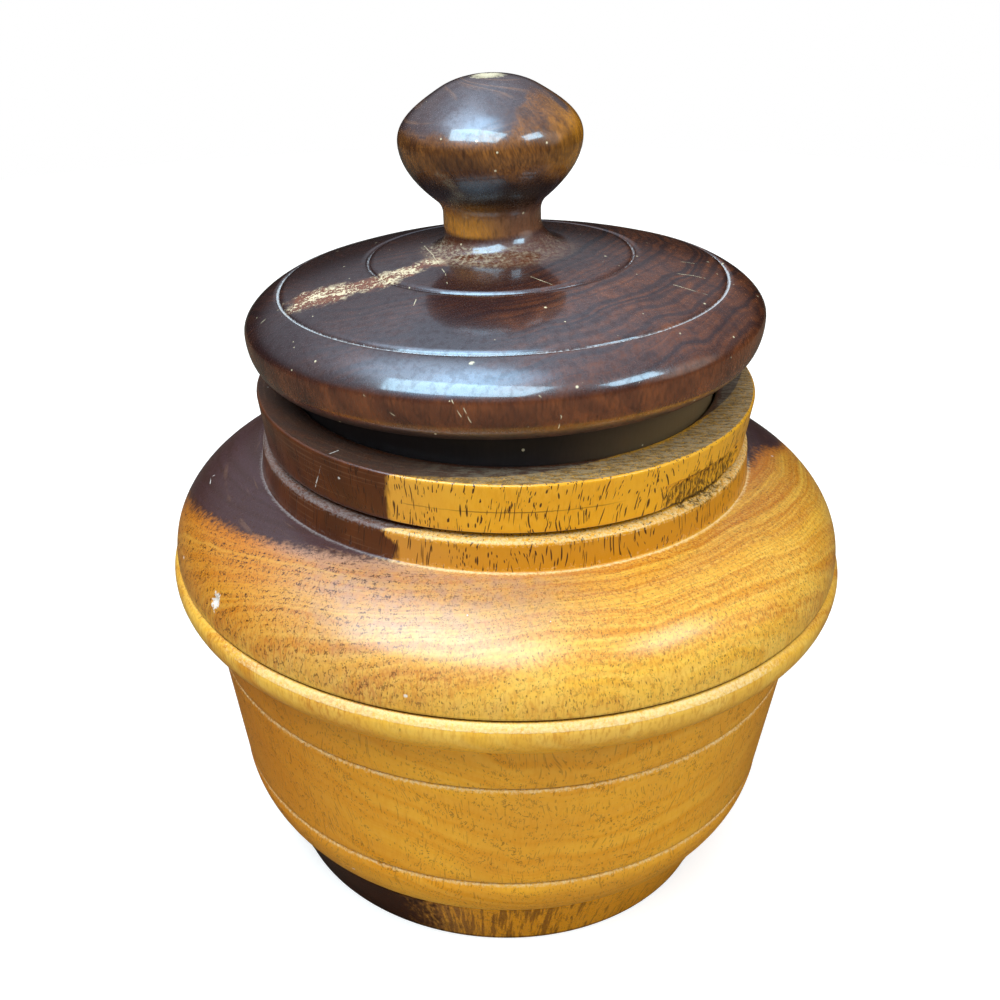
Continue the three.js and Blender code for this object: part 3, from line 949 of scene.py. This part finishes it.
def colour_sapwood(bench, at):
    """Golden wood with growth rings, and a tint of its own on bowl, neck and foot."""
    gold = bench.mix(bench.ease(at.rings["Band"], 0.05, 0.95), SAP_DEEP, SAP_GOLD)
    gold = bench.mix(bench.times(at.rings["Line"], 0.55), gold, SAP_PALE)
    gold = bench.mix(bench.times(at.near_heart, 0.5, at.heart["Line"]), gold, GRAIN_ORANGE)
    gold = bench.mix(bench.ease(at.broad, 0.42, 0.75, 0.0, 0.5), gold, SAP_PALE)
    gold = bench.mix(bench.ease(at.mottle, 0.4, 0.75, 0.0, 0.3), gold, SAP_DEEP)
    in_dark_rings = bench.ease(at.rings["Band"], 0.9, 0.1, 0.3, 0.8)
    speckled = bench.times(in_dark_rings, bench.ease(at.z, 56, 64, 0.35, 1.0), bench.ease(at.fine, 0.47, 0.6))
    gold = bench.mix(speckled, gold, GRAIN_ORANGE)
    gold = bench.mix(bench.times(at.bowl, 0.6), gold, BOWL_GOLD)
    side_share = bench.highest(
        bench.ease(at.x, -8, -46, 0.0, 0.8), bench.ease(at.x, 30, 52, 0.0, 0.5),
        bench.ease(at.broad, 0.42, 0.66, 0.0, 0.25))
    gold = bench.mix(bench.times(at.bowl, side_share), gold, BOWL_SIDE)
    gold = bench.mix(bench.times(at.neck, 0.82), gold, NECK_GOLD)
    gold = bench.mix(bench.times(at.neck, bench.ease(at.z, 85, 83, 0.0, 0.7)), gold, NECK_LOW)
    gold = bench.mix(bench.times(at.foot, 0.75), gold, FOOT_BROWN)
    return bench.mix(streak_foot(bench, at), gold, HEART_BROWN)


def tint_heart_edge(bench, at, gold):
    """Pink and orange where the shoulder's sapwood meets the heart."""
    pink = bench.times(
        bench.ease(at.gap, 22, 5), at.shoulder, bench.ease(at.x, -44, -24), bench.ease(at.x, 22, 0))
    gold = bench.mix(bench.times(pink, bench.ease(at.mottle, 0.3, 0.7, 0.8, 0.4)), gold, EDGE_PINK)
    left_deep = bench.times(bench.ease(at.gap, 26, 5), at.shoulder, bench.ease(at.x, -22, -42, 0.0, 0.6))
    gold = bench.mix(left_deep, gold, GRAIN_ORANGE)
    gold = bench.mix(bench.times(bench.ease(at.gap, 20, 3), at.shoulder, 0.14), gold, HEART_BROWN)
    fringe = bench.times(bench.ease(at.gap, 3.0, 0.3), bench.ease(at.shoulder, 0, 1, 0.15, 0.9))
    front = bench.times(bench.ease(at.x, -44, -30), bench.ease(at.x, 24, 10))
    return bench.mix(fringe, gold, bench.mix(front, GRAIN_ORANGE, EDGE_PINK))


def colour_heartwood(bench, at):
    dark = bench.mix(at.neck, HEART_PURPLE, HEART_BROWN)
    dark = bench.mix(bench.ease(at.z, 30, 12), dark, HEART_RED)
    dark = bench.mix(bench.times(at.heart["Band"], 0.5), dark, DARKEST_BROWN)
    return bench.mix(bench.times(at.fine, 0.35), dark, HEART_BROWN)


def mask_heartwood(bench, at):
    """Where the heartwood is: its edge is crisp on bowl and neck, and ragged on shoulder and foot."""
    softness = bench.add(bench.ease(at.shoulder, 0, 1, 0.15, 1.4), bench.times(at.foot, 1.3))
    ragged = bench.times(bench.swing(at.grain, 0.7), bench.times(softness, 2.4))
    return bench.ease(bench.add(at.gap, ragged), bench.times(softness, -0.6), softness, 1.0, 0.0)


def draw_squiggles(bench, at):
    """Short dark squiggles, crowded in the arcs near the heart and in rows across the bowl."""
    bend = bench.swing(bench.stretch(at.place, (1, 1, 0.6)), 0.95, 2.0, 0.6)
    broken = bench.ease(bench.noise(at.place, 0.8), 0.48, 0.54)
    squiggles = bench.times(bench.ease(bench.math("ABSOLUTE", bend), 0.042, 0.02), broken)
    in_arcs = bench.times(
        bench.ease(at.heart["Line"], 0.1, 0.7, 0.12, 1.0), bench.ease(at.x, 14, -22, 0.15, 1.0),
        at.near_heart)
    across_bowl = bench.join(
        bench.add(bench.times(at.x, 0.8), at.z), bench.times(at.y, 0.6), bench.times(at.z, 0.25))
    in_rows = bench.times(bench.ease(bench.noise(across_bowl, 3.2), 0.52, 0.62, 0.0, 0.5), at.bowl)
    return bench.times(squiggles, bench.highest(in_arcs, bench.times(at.shoulder, 0.3), in_rows))


def open_pores(bench, at):
    """Long strokes and thin veins on the neck, dots on shoulder and bowl, and squiggles."""
    clusters = bench.ease(bench.noise(at.place, 5, 1.0), 0.34, 0.52, 0.5, 1.0)
    strokes = bench.use(pores, Position=at.place, Presence=clusters, **LONG_PORES)["Mask"]
    leaning = bench.join(bench.subtract(at.x, bench.times(at.z, 0.12)), at.y, bench.times(at.z, 0.04))
    veins = bench.add(bench.noise(leaning, 0.36, 1.5), bench.times(clusters, 0.06))
    veins = bench.times(bench.ease(veins, 0.705, 0.74), at.neck)
    crowding = bench.highest(
        bench.ease(at.rings["Line"], 0.15, 0.85, 0.75, 0.1),
        bench.times(bench.ease(at.heart["Line"], 0.2, 0.7), at.near_heart))
    dots = bench.use(pores, Position=at.place, Presence=crowding, **SHORT_PORES)["Mask"]
    stroke_share = bench.add(bench.times(at.neck, 0.95), bench.times(at.bowl, 0.3))
    dot_share = bench.add(bench.times(at.shoulder, 0.6), bench.times(at.bowl, 0.4))
    return bench.highest(
        bench.times(bench.highest(strokes, veins), stroke_share), bench.times(dots, dot_share),
        bench.times(draw_squiggles(bench, at), 0.95))


def crack_band(bench, at):
    """A fine crack that runs round the front of the upper band."""
    off_crack = bench.add(bench.subtract(at.z, BAND_CRACK_HEIGHT), bench.times(at.mottle, 0.3))
    crack = bench.ease(bench.math("ABSOLUTE", off_crack), 0.05, 0.16, 1, 0)
    return bench.times(
        crack, bench.ease(at.x, -16, -14), bench.ease(at.x, 20, 15), bench.ease(at.y, 0, -5),
        bench.ease(at.broad, 0.3, 0.5), 0.7)


def finish_surface(bench, shader, roughness, polish, height, coat_roughness, strength, distance):
    """What both woods have besides their colour: roughness, a coat of wax polish, and a fine relief."""
    bench.feed(shader.inputs["Roughness"], roughness)
    bench.feed(shader.inputs["Coat Weight"], polish)
    shader.inputs["Coat Roughness"].default_value = coat_roughness
    shader.inputs["Coat IOR"].default_value = POLISH_IOR
    relief = bench.place("ShaderNodeBump", {"Height": height, "Strength": strength, "Distance": distance})
    bench.feed(shader.inputs["Normal"], relief.outputs["Normal"])


def make_body_wood():
    """Golden sapwood and dark heartwood with open pores, dust, dirt with painted shade in its cuts, and
    damage.
    """
    material, bench, shader, place = new_material("body_wood")
    dust, grime, raw = [bench.mark(name) for name in MARKS]
    at = survey_body(bench, place)
    in_heart = mask_heartwood(bench, at)
    gold = tint_heart_edge(bench, at, colour_sapwood(bench, at))
    colour = bench.mix(in_heart, gold, colour_heartwood(bench, at))
    marks = bench.use(turning_marks, Position=place, Spacing=0.6)["Height"]
    scored = bench.times(in_heart, bench.ease(at.z, 73, 78), bench.ease(marks, 0.05, 0.16), 0.18)
    colour = bench.mix(scored, colour, FINE_SCORE)
    open_pore = open_pores(bench, at)
    colour = bench.mix(open_pore, colour, PORE_DARK)

    flecks = scatter_flecks(bench, place)
    front_bead = bench.times(
        bench.ease(at.z, *BEAD_START), bench.ease(at.z, *BEAD_END), bench.ease(at.y, -52, -34))
    dust = bench.times(dust, bench.ease(front_bead, 0, 1, 1.0, 0.4))
    dusty = bench.ease(bench.add(dust, flecks), 0.4, 1.1)
    fibrous = bench.noise(bench.stretch(place, (0.25, 1, 1)), 0.55, 3.0, 0.7)
    rim_dust = bench.mix(bench.ease(at.x, -20, 4), RIM_DARK, RIM_DUST)
    rim_dust = bench.mix(bench.ease(fibrous, 0.42, 0.58, 0.0, 0.8), rim_dust, RIM_DARK)
    dust_colour = bench.mix(in_heart, DUST_WARM, DUST_COOL)
    dust_colour = bench.mix(bench.ease(at.z, *RIM_START), dust_colour, rim_dust)
    colour = bench.mix(bench.times(dusty, bench.ease(in_heart, 0, 1, 0.8, 0.6)), colour, dust_colour)
    colour = bench.mix(bench.times(raw, 0.8), colour, RAW_WOOD)
    # Dirt and painted shade in the cuts, creases and undercuts, broken up by the flecks
    dirt_and_shade = bench.ease(bench.add(grime, bench.times(flecks, 0.4)), 0.2, 1.0)
    colour = bench.mix(bench.times(dirt_and_shade, 0.85), colour, DARKEST_BROWN)

    torn = bench.times(
        bench.use(spot, Position=place, **TORN_PATCH)["Mask"],
        bench.times(at.neck, bench.ease(at.z, 93, 92)), bench.subtract(1.0, raw))
    torn_wood = bench.mix(bench.ease(at.fine, 0.42, 0.58), TORN_WOOD, TORN_DARK)
    colour = bench.mix(bench.times(torn, bench.ease(at.fine, 0.4, 0.56, 0.25, 0.85)), colour, torn_wood)
    cracks = bench.highest(crack_band(bench, at), draw_hairs(bench, place, BODY_CRACKS))
    colour = bench.mix(cracks, colour, PORE_DARK)
    white = bench.use(specks, Position=place, **BODY_SPECKS)["Mask"]
    chip = bench.use(spot, Position=place, **CHIP_PATCH)["Mask"]
    pale = bench.highest(white, chip, draw_hairs(bench, place, BODY_HAIRS))
    colour = bench.mix(bench.times(pale, 0.8), colour, SPECK_WHITE)
    bench.feed(shader.inputs["Base Color"], colour)

    matt = bench.highest(dusty, raw, torn)
    roughness = bench.add(bench.times(at.fine, 0.14), 0.3, bench.times(matt, 0.35))
    polish = bench.times(bench.subtract(1.0, matt), bench.ease(at.z, 56, 62, 0.2, 0.68))
    height = bench.add(
        bench.times(open_pore, -1.0), bench.times(at.fine, 0.3), bench.times(marks, 0.25),
        bench.times(fibrous, bench.highest(torn, dusty), 1.5))
    finish_surface(
        bench, shader, roughness, polish, height, coat_roughness=0.27, strength=0.5, distance=0.00015)
    shader.inputs["Specular IOR Level"].default_value = 0.12
    return material


def survey_lid(bench, place):
    """What the steps of the lid's wood share: the place, the same place on the lathe, and the grain."""
    seat = lid_seat()
    on_lathe = bench.place("ShaderNodeMapping", {
        "Vector": place, "Location": seat.translation, "Rotation": seat.to_euler()}, vector_type="TEXTURE")
    lathe = on_lathe.outputs[0]
    x, y, z = bench.split(place)
    slanted = bench.join(bench.add(x, bench.times(z, 0.45)), y, bench.times(z, 0.16))
    curling = bench.join(bench.add(x, bench.times(z, 0.6)), y, bench.times(z, 0.5))
    return SimpleNamespace(
        place=place, x=x, y=y, z=z,
        lathe=lathe, up=bench.split(lathe)[2], radius=bench.from_axis(lathe),
        fine=bench.noise(bench.stretch(place, ALONG_GRAIN), 0.45, 3.0, 0.6),
        mottle=bench.noise(place, 1.1, 3.0, 0.6), broad=bench.noise(place, 16),
        fibres=bench.noise(slanted, 0.26, 3.0, 0.6), swirls=bench.noise(curling, 5.0, 3.0, 0.6),
        marks=bench.use(turning_marks, Position=lathe, Spacing=0.5)["Height"])


def colour_disc(bench, at):
    """Dark wood with growth rings, browner to the right, and a painted orange-brown reflection round the
    bead's lower side.
    """
    rings = bench.use(growth_rings, Position=at.place, Centre=LID_RING_CENTRE, Ring_width=6.0, Wander=4.0)
    streaky = bench.noise(bench.stretch(at.place, (1, 1, 0.5)), 3.0, 4.0, 0.7)
    brownness = bench.add(bench.ease(at.x, -12, 34, 0.1, 0.85), bench.subtract(at.broad, 0.5))
    brownness = bench.times(brownness, bench.ease(streaky, 0.36, 0.62, 0.35, 1.0))
    colour = bench.mix(bench.times(rings["Band"], brownness), LID_DARK, LID_BROWN)
    colour = bench.mix(bench.times(brownness, 0.55, rings["Line"]), colour, LID_ORANGE_BROWN)
    # Painted reflection: a warm orange-brown band on the lower side of the bead
    glow = bench.times(
        bench.ease(at.up, 6.5, 4.5), bench.ease(at.up, -0.8, 1.2), bench.ease(at.broad, 0.35, 0.6, 0.35, 1.0))
    reflection_share = bench.times(
        bench.ease(at.swirls, 0.35, 0.65, 0.4, 0.9), bench.ease(at.fibres, 0.35, 0.65, 0.8, 1.0))
    return bench.mix(bench.times(glow, reflection_share), colour, LID_ORANGE_BROWN)


def colour_knob(bench, at):
    """Brown and orange fibres, a dull purple cap, an underside of darker wood with painted shade, and a stem
    that is gold at the left.
    """
    figure = bench.times(
        bench.ease(at.fibres, 0.34, 0.66, 0.3, 0.85), bench.ease(at.swirls, 0.34, 0.6, 0.25, 1.0))
    knob = bench.mix(figure, KNOB_BROWN, KNOB_ORANGE)
    right_gold = bench.times(bench.ease(at.x, 5, 12), bench.ease(at.swirls, 0.4, 0.6, 0.25, 0.75))
    knob = bench.mix(right_gold, knob, STEM_GOLD)
    # Painted shade under the knob, over wood that is darker there
    knob = bench.mix(bench.times(bench.ease(at.z, *KNOB_UNDERSIDE), 0.98), knob, KNOB_BELOW_SHADED)
    golden = bench.times(bench.ease(at.x, 2, -6), bench.add(bench.times(figure, 0.7), 0.3))
    stem = bench.mix(golden, STEM_BROWN, STEM_GOLD)
    knob = bench.mix(bench.ease(at.z, *STEM_END), knob, stem)
    notch = bench.times(bench.ease(at.x, 0.2, 4.0), bench.ease(at.x, 10.0, 5.0), CAP_NOTCH)
    cap_edge = bench.add(bench.times(at.x, CAP_EDGE_SLOPE), CAP_EDGE_HEIGHT, notch)
    wavering = bench.times(bench.subtract(at.swirls, 0.5), 9.0)
    cap = bench.ease(bench.add(bench.subtract(at.z, cap_edge), wavering), -0.9, 1.3)
    cap_colour = bench.mix(bench.ease(at.marks, 0.03, 0.14, 0.0, 0.3), KNOB_CAP, FINE_SCORE)
    return bench.mix(bench.times(cap, 0.92), knob, cap_colour)


def wear_stripe(bench, at):
    """The worn stripe from the flare to the outer circle: its mask, and the pale grains left in it."""
    gathered = bench.swing(bench.stretch(at.place, (0.6, 1, 1)), 2.6)
    grains = bench.add(bench.noise(at.place, 0.6, 4.0, 0.75), bench.times(gathered, 0.55))
    strayed = bench.vector("ADD", at.place, bench.stray(at.place, 4.0, (7, 7, 0), 3.0, 0.7))
    stripe = draw_lines(bench, strayed, LID_STRIPE)
    return stripe, bench.times(stripe, bench.ease(grains, 0.52, 0.57))


def wear_flare(bench, at):
    """The flare at the stem's foot: its mask, and the dust that lies in rings on it."""
    flare = bench.times(
        bench.ease(at.up, *FLARE_END), bench.ease(at.radius, 14.5, 11.5), bench.ease(at.y, 4, -2))
    ringed = bench.noise(bench.stretch(at.lathe, (0.7, 0.7, 1.8)), 0.55, 5.0, 0.8)
    at_foot = bench.times(bench.ease(at.up, 18.6, 17.6), bench.ease(at.x, 12, -10, 0.3, 1.0))
    worn = bench.times(flare, bench.add(at_foot, 0.1), bench.ease(ringed, 0.44, 0.66, 0.0, 0.8))
    return flare, worn


def make_lid_wood():
    """Dark polished wood with dusty circles, a worn stripe, scratches, and a dull plug painted near black as
    shade at the left.
    """
    material, bench, shader, place = new_material("lid_wood")
    dust, grime, raw = [bench.mark(name) for name in MARKS]
    at = survey_lid(bench, place)
    on_knob = bench.ease(at.up, *STEM_START)
    colour = bench.mix(on_knob, colour_disc(bench, at), colour_knob(bench, at))
    colour = bench.mix(bench.ease(at.fine, 0.45, 0.7, 0.0, 0.45), colour, DARKEST_BROWN)

    faint = bench.ease(at.radius, 30, 24, 0.0, 0.42)
    dusty = bench.add(bench.subtract(dust, faint), scatter_flecks(bench, place))
    dusty = bench.ease(dusty, 0.35, 0.95)
    colour = bench.mix(bench.times(dusty, 0.75), colour, LID_DUST)
    stripe, worn_stripe = wear_stripe(bench, at)
    flare, worn_flare = wear_flare(bench, at)
    worn = bench.highest(worn_stripe, worn_flare)
    colour = bench.mix(bench.times(stripe, 0.6), colour, LID_ORANGE_BROWN)
    colour = bench.mix(bench.times(flare, 0.3), colour, LID_ORANGE_BROWN)
    colour = bench.mix(bench.times(worn, 0.75), colour, bench.mix(flare, STRIPE_CREAM, FLARE_DUST))

    # The plug's dull wood, painted near black at the left as shade under the lid, and olive at the right
    plug = bench.mix(bench.ease(at.x, 4, 32), PLUG_IN_SHADE, PLUG_OLIVE)
    colour = bench.mix(raw, colour, plug)
    # Painted shade, with dirt, on the plug's side and under the lid's edge, where it sits in the mouth
    colour = bench.mix(bench.times(grime, 0.8), colour, DARKEST_BROWN)
    white = bench.use(specks, Position=place, **LID_SPECKS)["Mask"]
    dip = bench.use(spot, Position=place, **DIP_PATCH)["Mask"]
    pale = bench.highest(white, dip, draw_hairs(bench, place, LID_HAIRS))
    colour = bench.mix(bench.times(pale, 0.75), colour, STRIPE_CREAM)
    bench.feed(shader.inputs["Base Color"], colour)

    matt = bench.highest(dusty, raw, worn, bench.ease(at.up, *BEAD_UNDERSIDE, 0.0, 0.9))
    roughness = bench.add(bench.times(at.fine, 0.15), 0.2, bench.times(matt, 0.45))
    below_knob = bench.times(bench.ease(at.z, *KNOB_UNDERSIDE), bench.ease(at.z, 123.5, 125.5))
    polish = bench.times(
        bench.subtract(1.0, matt), bench.ease(at.mottle, 0.36, 0.54, 0.6, 1.0),
        bench.ease(below_knob, 0, 1, 1.0, 0.22), 0.9)
    height = bench.add(
        bench.times(at.fine, 0.15), bench.times(at.marks, 0.25), bench.times(at.mottle, on_knob, 0.5))
    finish_surface(
        bench, shader, roughness, polish, height, coat_roughness=0.09, strength=0.4, distance=0.0001)
    return material


body = make_body()
body.data.materials.append(make_body_wood())
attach(body, "jar")
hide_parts("jar_body")

lid = make_lid()
lid.data.materials.append(make_lid_wood())
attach(lid, "lid")
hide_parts("lid")

# Floor and backdrop: a pale round floor, and a white surround
FLOOR_RADIUS = 600
FLOOR_DROP = 0.02
FLOOR_COLOUR = (0.55, 0.54, 0.52, 1)
FLOOR_REFLECTED = (0.08, 0.065, 0.05, 1)
FLOOR_LIFT = 0.66

# What the polish mirrors: a dim room below and an overcast sky above, with brighter patches and two windows
ROOM_RADIUS = 1600
ROOM_DIM = (0.02, 0.016, 0.014, 1)
ROOM_GREY = (0.4, 0.44, 0.52, 1)
ROOM_SKY = (1.1, 1.45, 1.85, 1)
# Each brighter patch: azimuth and elevation, where it starts and where it is full, colour
ROOM_GLOWS = (
    (-88, 70, 0.42, 0.1, (1.9, 2.7, 3.7)),
    (-30, 77, 0.36, 0.1, (2.3, 4.2, 6.2)),
    (-32, 46, 0.46, 0.1, (0.5, 1.0, 1.6)),
    (82, 22, 0.4, 0.15, (1.0, 0.85, 0.75)),
)
# Each window: azimuth and elevation, half width and half height as tangents
ROOM_WINDOWS = (
    (-25, 56, 0.5, 0.27),
    (62, 40, 0.2, 0.14),
)
WINDOW_COLOUR = (5.6, 8.8, 11.2, 1)

# Each light: name, azimuth, elevation, distance, width, height, watts, colour
LIGHTS = (
    ("window_light", -25, 57, 850, 860, 320, 7.2, (0.84, 0.96, 1.02)),
    ("side_light", 62, 40, 850, 360, 230, 2.3, (0.86, 0.96, 1.0)),
    ("skylight", -85, 72, 850, 520, 340, 3.2, (0.86, 0.95, 1.0)),
    ("back_light", 165, 35, 900, 520, 340, 1.5, (0.92, 0.97, 1.0)),
)
LIGHT_TARGET = Vector((0, 0, 90))
SOFT_COLOUR = (0.9, 0.95, 1.0, 1)
SOFT_STRENGTH = 0.38

# Camera, as the photograph was taken
SENSOR_WIDTH = 36
FOCAL_SHARE = 1.274
CENTRE_LEFT = 0.0864
CENTRE_UP = 0.0145
CAMERA_PLACE = (0, -210.23, 180.60)
CAMERA_PITCH_DEG = 27.37
CAMERA_YAW_DEG = -4.44
CAMERA_ROLL_DEG = 1.38


def make_floor():
    shape = bmesh.new()
    bmesh.ops.create_circle(shape, cap_ends=True, segments=96, radius=FLOOR_RADIUS)
    bmesh.ops.translate(shape, vec=(0, 0, -FLOOR_DROP), verts=shape.verts)
    piece = make_piece(shape, "floor")
    material, bench, surface = new_glow("pale_floor")
    path = bench.place("ShaderNodeLightPath").outputs
    colour = bench.mix(path["Is Glossy Ray"], FLOOR_COLOUR, FLOOR_REFLECTED)
    plain = bench.place("ShaderNodeBsdfDiffuse", {"Color": colour})
    lift = bench.place("ShaderNodeEmission", {"Strength": bench.times(path["Is Camera Ray"], FLOOR_LIFT)})
    both = bench.place("ShaderNodeAddShader", {0: plain.outputs[0], 1: lift.outputs[0]})
    bench.feed(surface, both.outputs[0])
    piece.data.materials.append(material)
    return piece


def direction(azimuth, elevation):
    """A direction as seen from the object."""
    turn_by, rise_by = math.radians(azimuth), math.radians(elevation)
    level = math.cos(rise_by)
    return Vector((math.sin(turn_by) * level, -math.cos(turn_by) * level, math.sin(rise_by)))


def paint_window(bench, place, azimuth, elevation, half_width, half_height):
    """The mask of an oblong window in a direction."""
    towards = direction(azimuth, elevation)
    level = Vector((math.cos(math.radians(azimuth)), math.sin(math.radians(azimuth)), 0))
    facing = bench.measure("DOT_PRODUCT", place, towards)
    pane = bench.math("GREATER_THAN", facing, 0.0)
    edges = ((level, half_width, 0.02), (level.cross(towards), half_height, 0.03))
    for axis, half_size, softness in edges:
        off_axis = bench.math("DIVIDE", bench.measure("DOT_PRODUCT", place, axis), facing)
        off_axis = bench.math("ABSOLUTE", off_axis)
        pane = bench.times(pane, bench.ease(off_axis, half_size, half_size - softness))
    return pane


def make_room():
    """The sphere that carries what the polish mirrors. Only reflections see it."""
    shape = bmesh.new()
    bmesh.ops.create_uvsphere(shape, u_segments=48, v_segments=24, radius=ROOM_RADIUS)
    piece = make_piece(shape, "mirrored_room")
    material, bench, surface = new_glow("mirrored_room")
    place = bench.place("ShaderNodeTexCoord").outputs["Object"]
    radius = ROOM_RADIUS * MM
    across, depth, height = bench.split(bench.stretch(place, (1 / radius,) * 3))
    colour = bench.mix(bench.ease(height, 0.12, 0.5), ROOM_DIM, ROOM_GREY)
    colour = bench.mix(bench.ease(height, 0.5, 0.95), colour, ROOM_SKY)
    strength = bench.times(bench.ease(across, -0.1, 0.5, 1.0, 0.5), bench.ease(depth, 0.15, 0.6, 1.0, 0.8))
    colour = bench.stretch(colour, bench.join(strength, strength, strength))
    for window in ROOM_WINDOWS:
        colour = bench.mix(paint_window(bench, place, *window), colour, WINDOW_COLOUR)
    for azimuth, elevation, outer, inner, tone in ROOM_GLOWS:
        centre = direction(azimuth, elevation) * ROOM_RADIUS * MM
        off_centre = bench.measure("LENGTH", bench.vector("SUBTRACT", place, tuple(centre)))
        glow = bench.ease(off_centre, outer * radius, inner * radius)
        colour = bench.vector("ADD", colour, bench.stretch(bench.join(glow, glow, glow), tone))
    glow = bench.place("ShaderNodeEmission", {"Color": colour, "Strength": 1.0})
    bench.feed(surface, glow.outputs[0])
    piece.data.materials.append(material)
    piece.visible_camera = False
    piece.visible_diffuse = False
    piece.visible_transmission = False
    piece.visible_volume_scatter = False
    piece.visible_shadow = False
    return piece


def make_world():
    """Soft light from all round. Camera, glossy and transmission rays find plain white there instead."""
    world = bpy.data.worlds.new("studio")
    bpy.context.scene.world = world
    world.use_nodes = True
    world.node_tree.nodes.clear()
    bench = Bench(world.node_tree)
    path = bench.place("ShaderNodeLightPath").outputs
    seen = bench.highest(path["Is Camera Ray"], path["Is Glossy Ray"], path["Is Transmission Ray"])
    soft = bench.place("ShaderNodeBackground", {"Color": SOFT_COLOUR, "Strength": SOFT_STRENGTH})
    white = bench.place("ShaderNodeBackground", {"Color": (1, 1, 1, 1), "Strength": 1.0})
    both = bench.place("ShaderNodeMixShader", {0: seen, 1: soft.outputs[0], 2: white.outputs[0]})
    bench.feed(bench.place("ShaderNodeOutputWorld").inputs["Surface"], both.outputs[0])


def add_light(name, azimuth, elevation, distance, width, height, watts, colour):
    """An oblong soft light, hidden from the polish, which mirrors the room instead."""
    towards = direction(azimuth, elevation)
    data = bpy.data.lights.new(name, "AREA")
    data.shape = "RECTANGLE"
    data.size = width * MM
    data.size_y = height * MM
    data.energy = watts
    data.color = colour
    light = bpy.data.objects.new(name, data)
    bpy.context.scene.collection.objects.link(light)
    light.location = (LIGHT_TARGET + towards * distance) * MM
    light.rotation_mode = "QUATERNION"
    light.rotation_quaternion = towards.to_track_quat("Z", "Y")
    light.visible_glossy = False


def add_camera():
    data = bpy.data.cameras.new("camera")
    camera = bpy.data.objects.new("camera", data)
    bpy.context.scene.collection.objects.link(camera)
    pitch, yaw, roll = [math.radians(a) for a in (CAMERA_PITCH_DEG, CAMERA_YAW_DEG, CAMERA_ROLL_DEG)]
    forward = Vector((math.sin(yaw) * math.cos(pitch), math.cos(yaw) * math.cos(pitch), -math.sin(pitch)))
    level = Vector((math.cos(yaw), -math.sin(yaw), 0))
    down = forward.cross(level)
    right = level * math.cos(roll) + down * math.sin(roll)
    lower = down * math.cos(roll) - level * math.sin(roll)
    turned = Matrix((right, -lower, -forward)).transposed()
    camera.matrix_world = Matrix.Translation(Vector(CAMERA_PLACE) * MM) @ turned.to_4x4()
    data.sensor_width = SENSOR_WIDTH
    data.lens = SENSOR_WIDTH * FOCAL_SHARE
    data.shift_x = CENTRE_LEFT
    data.shift_y = -CENTRE_UP
    data.clip_start = 0.01
    bpy.context.scene.camera = camera


make_floor()
make_room()
make_world()
for light in LIGHTS:
    add_light(*light)
add_camera()
bpy.context.scene.view_settings.view_transform = "Standard"
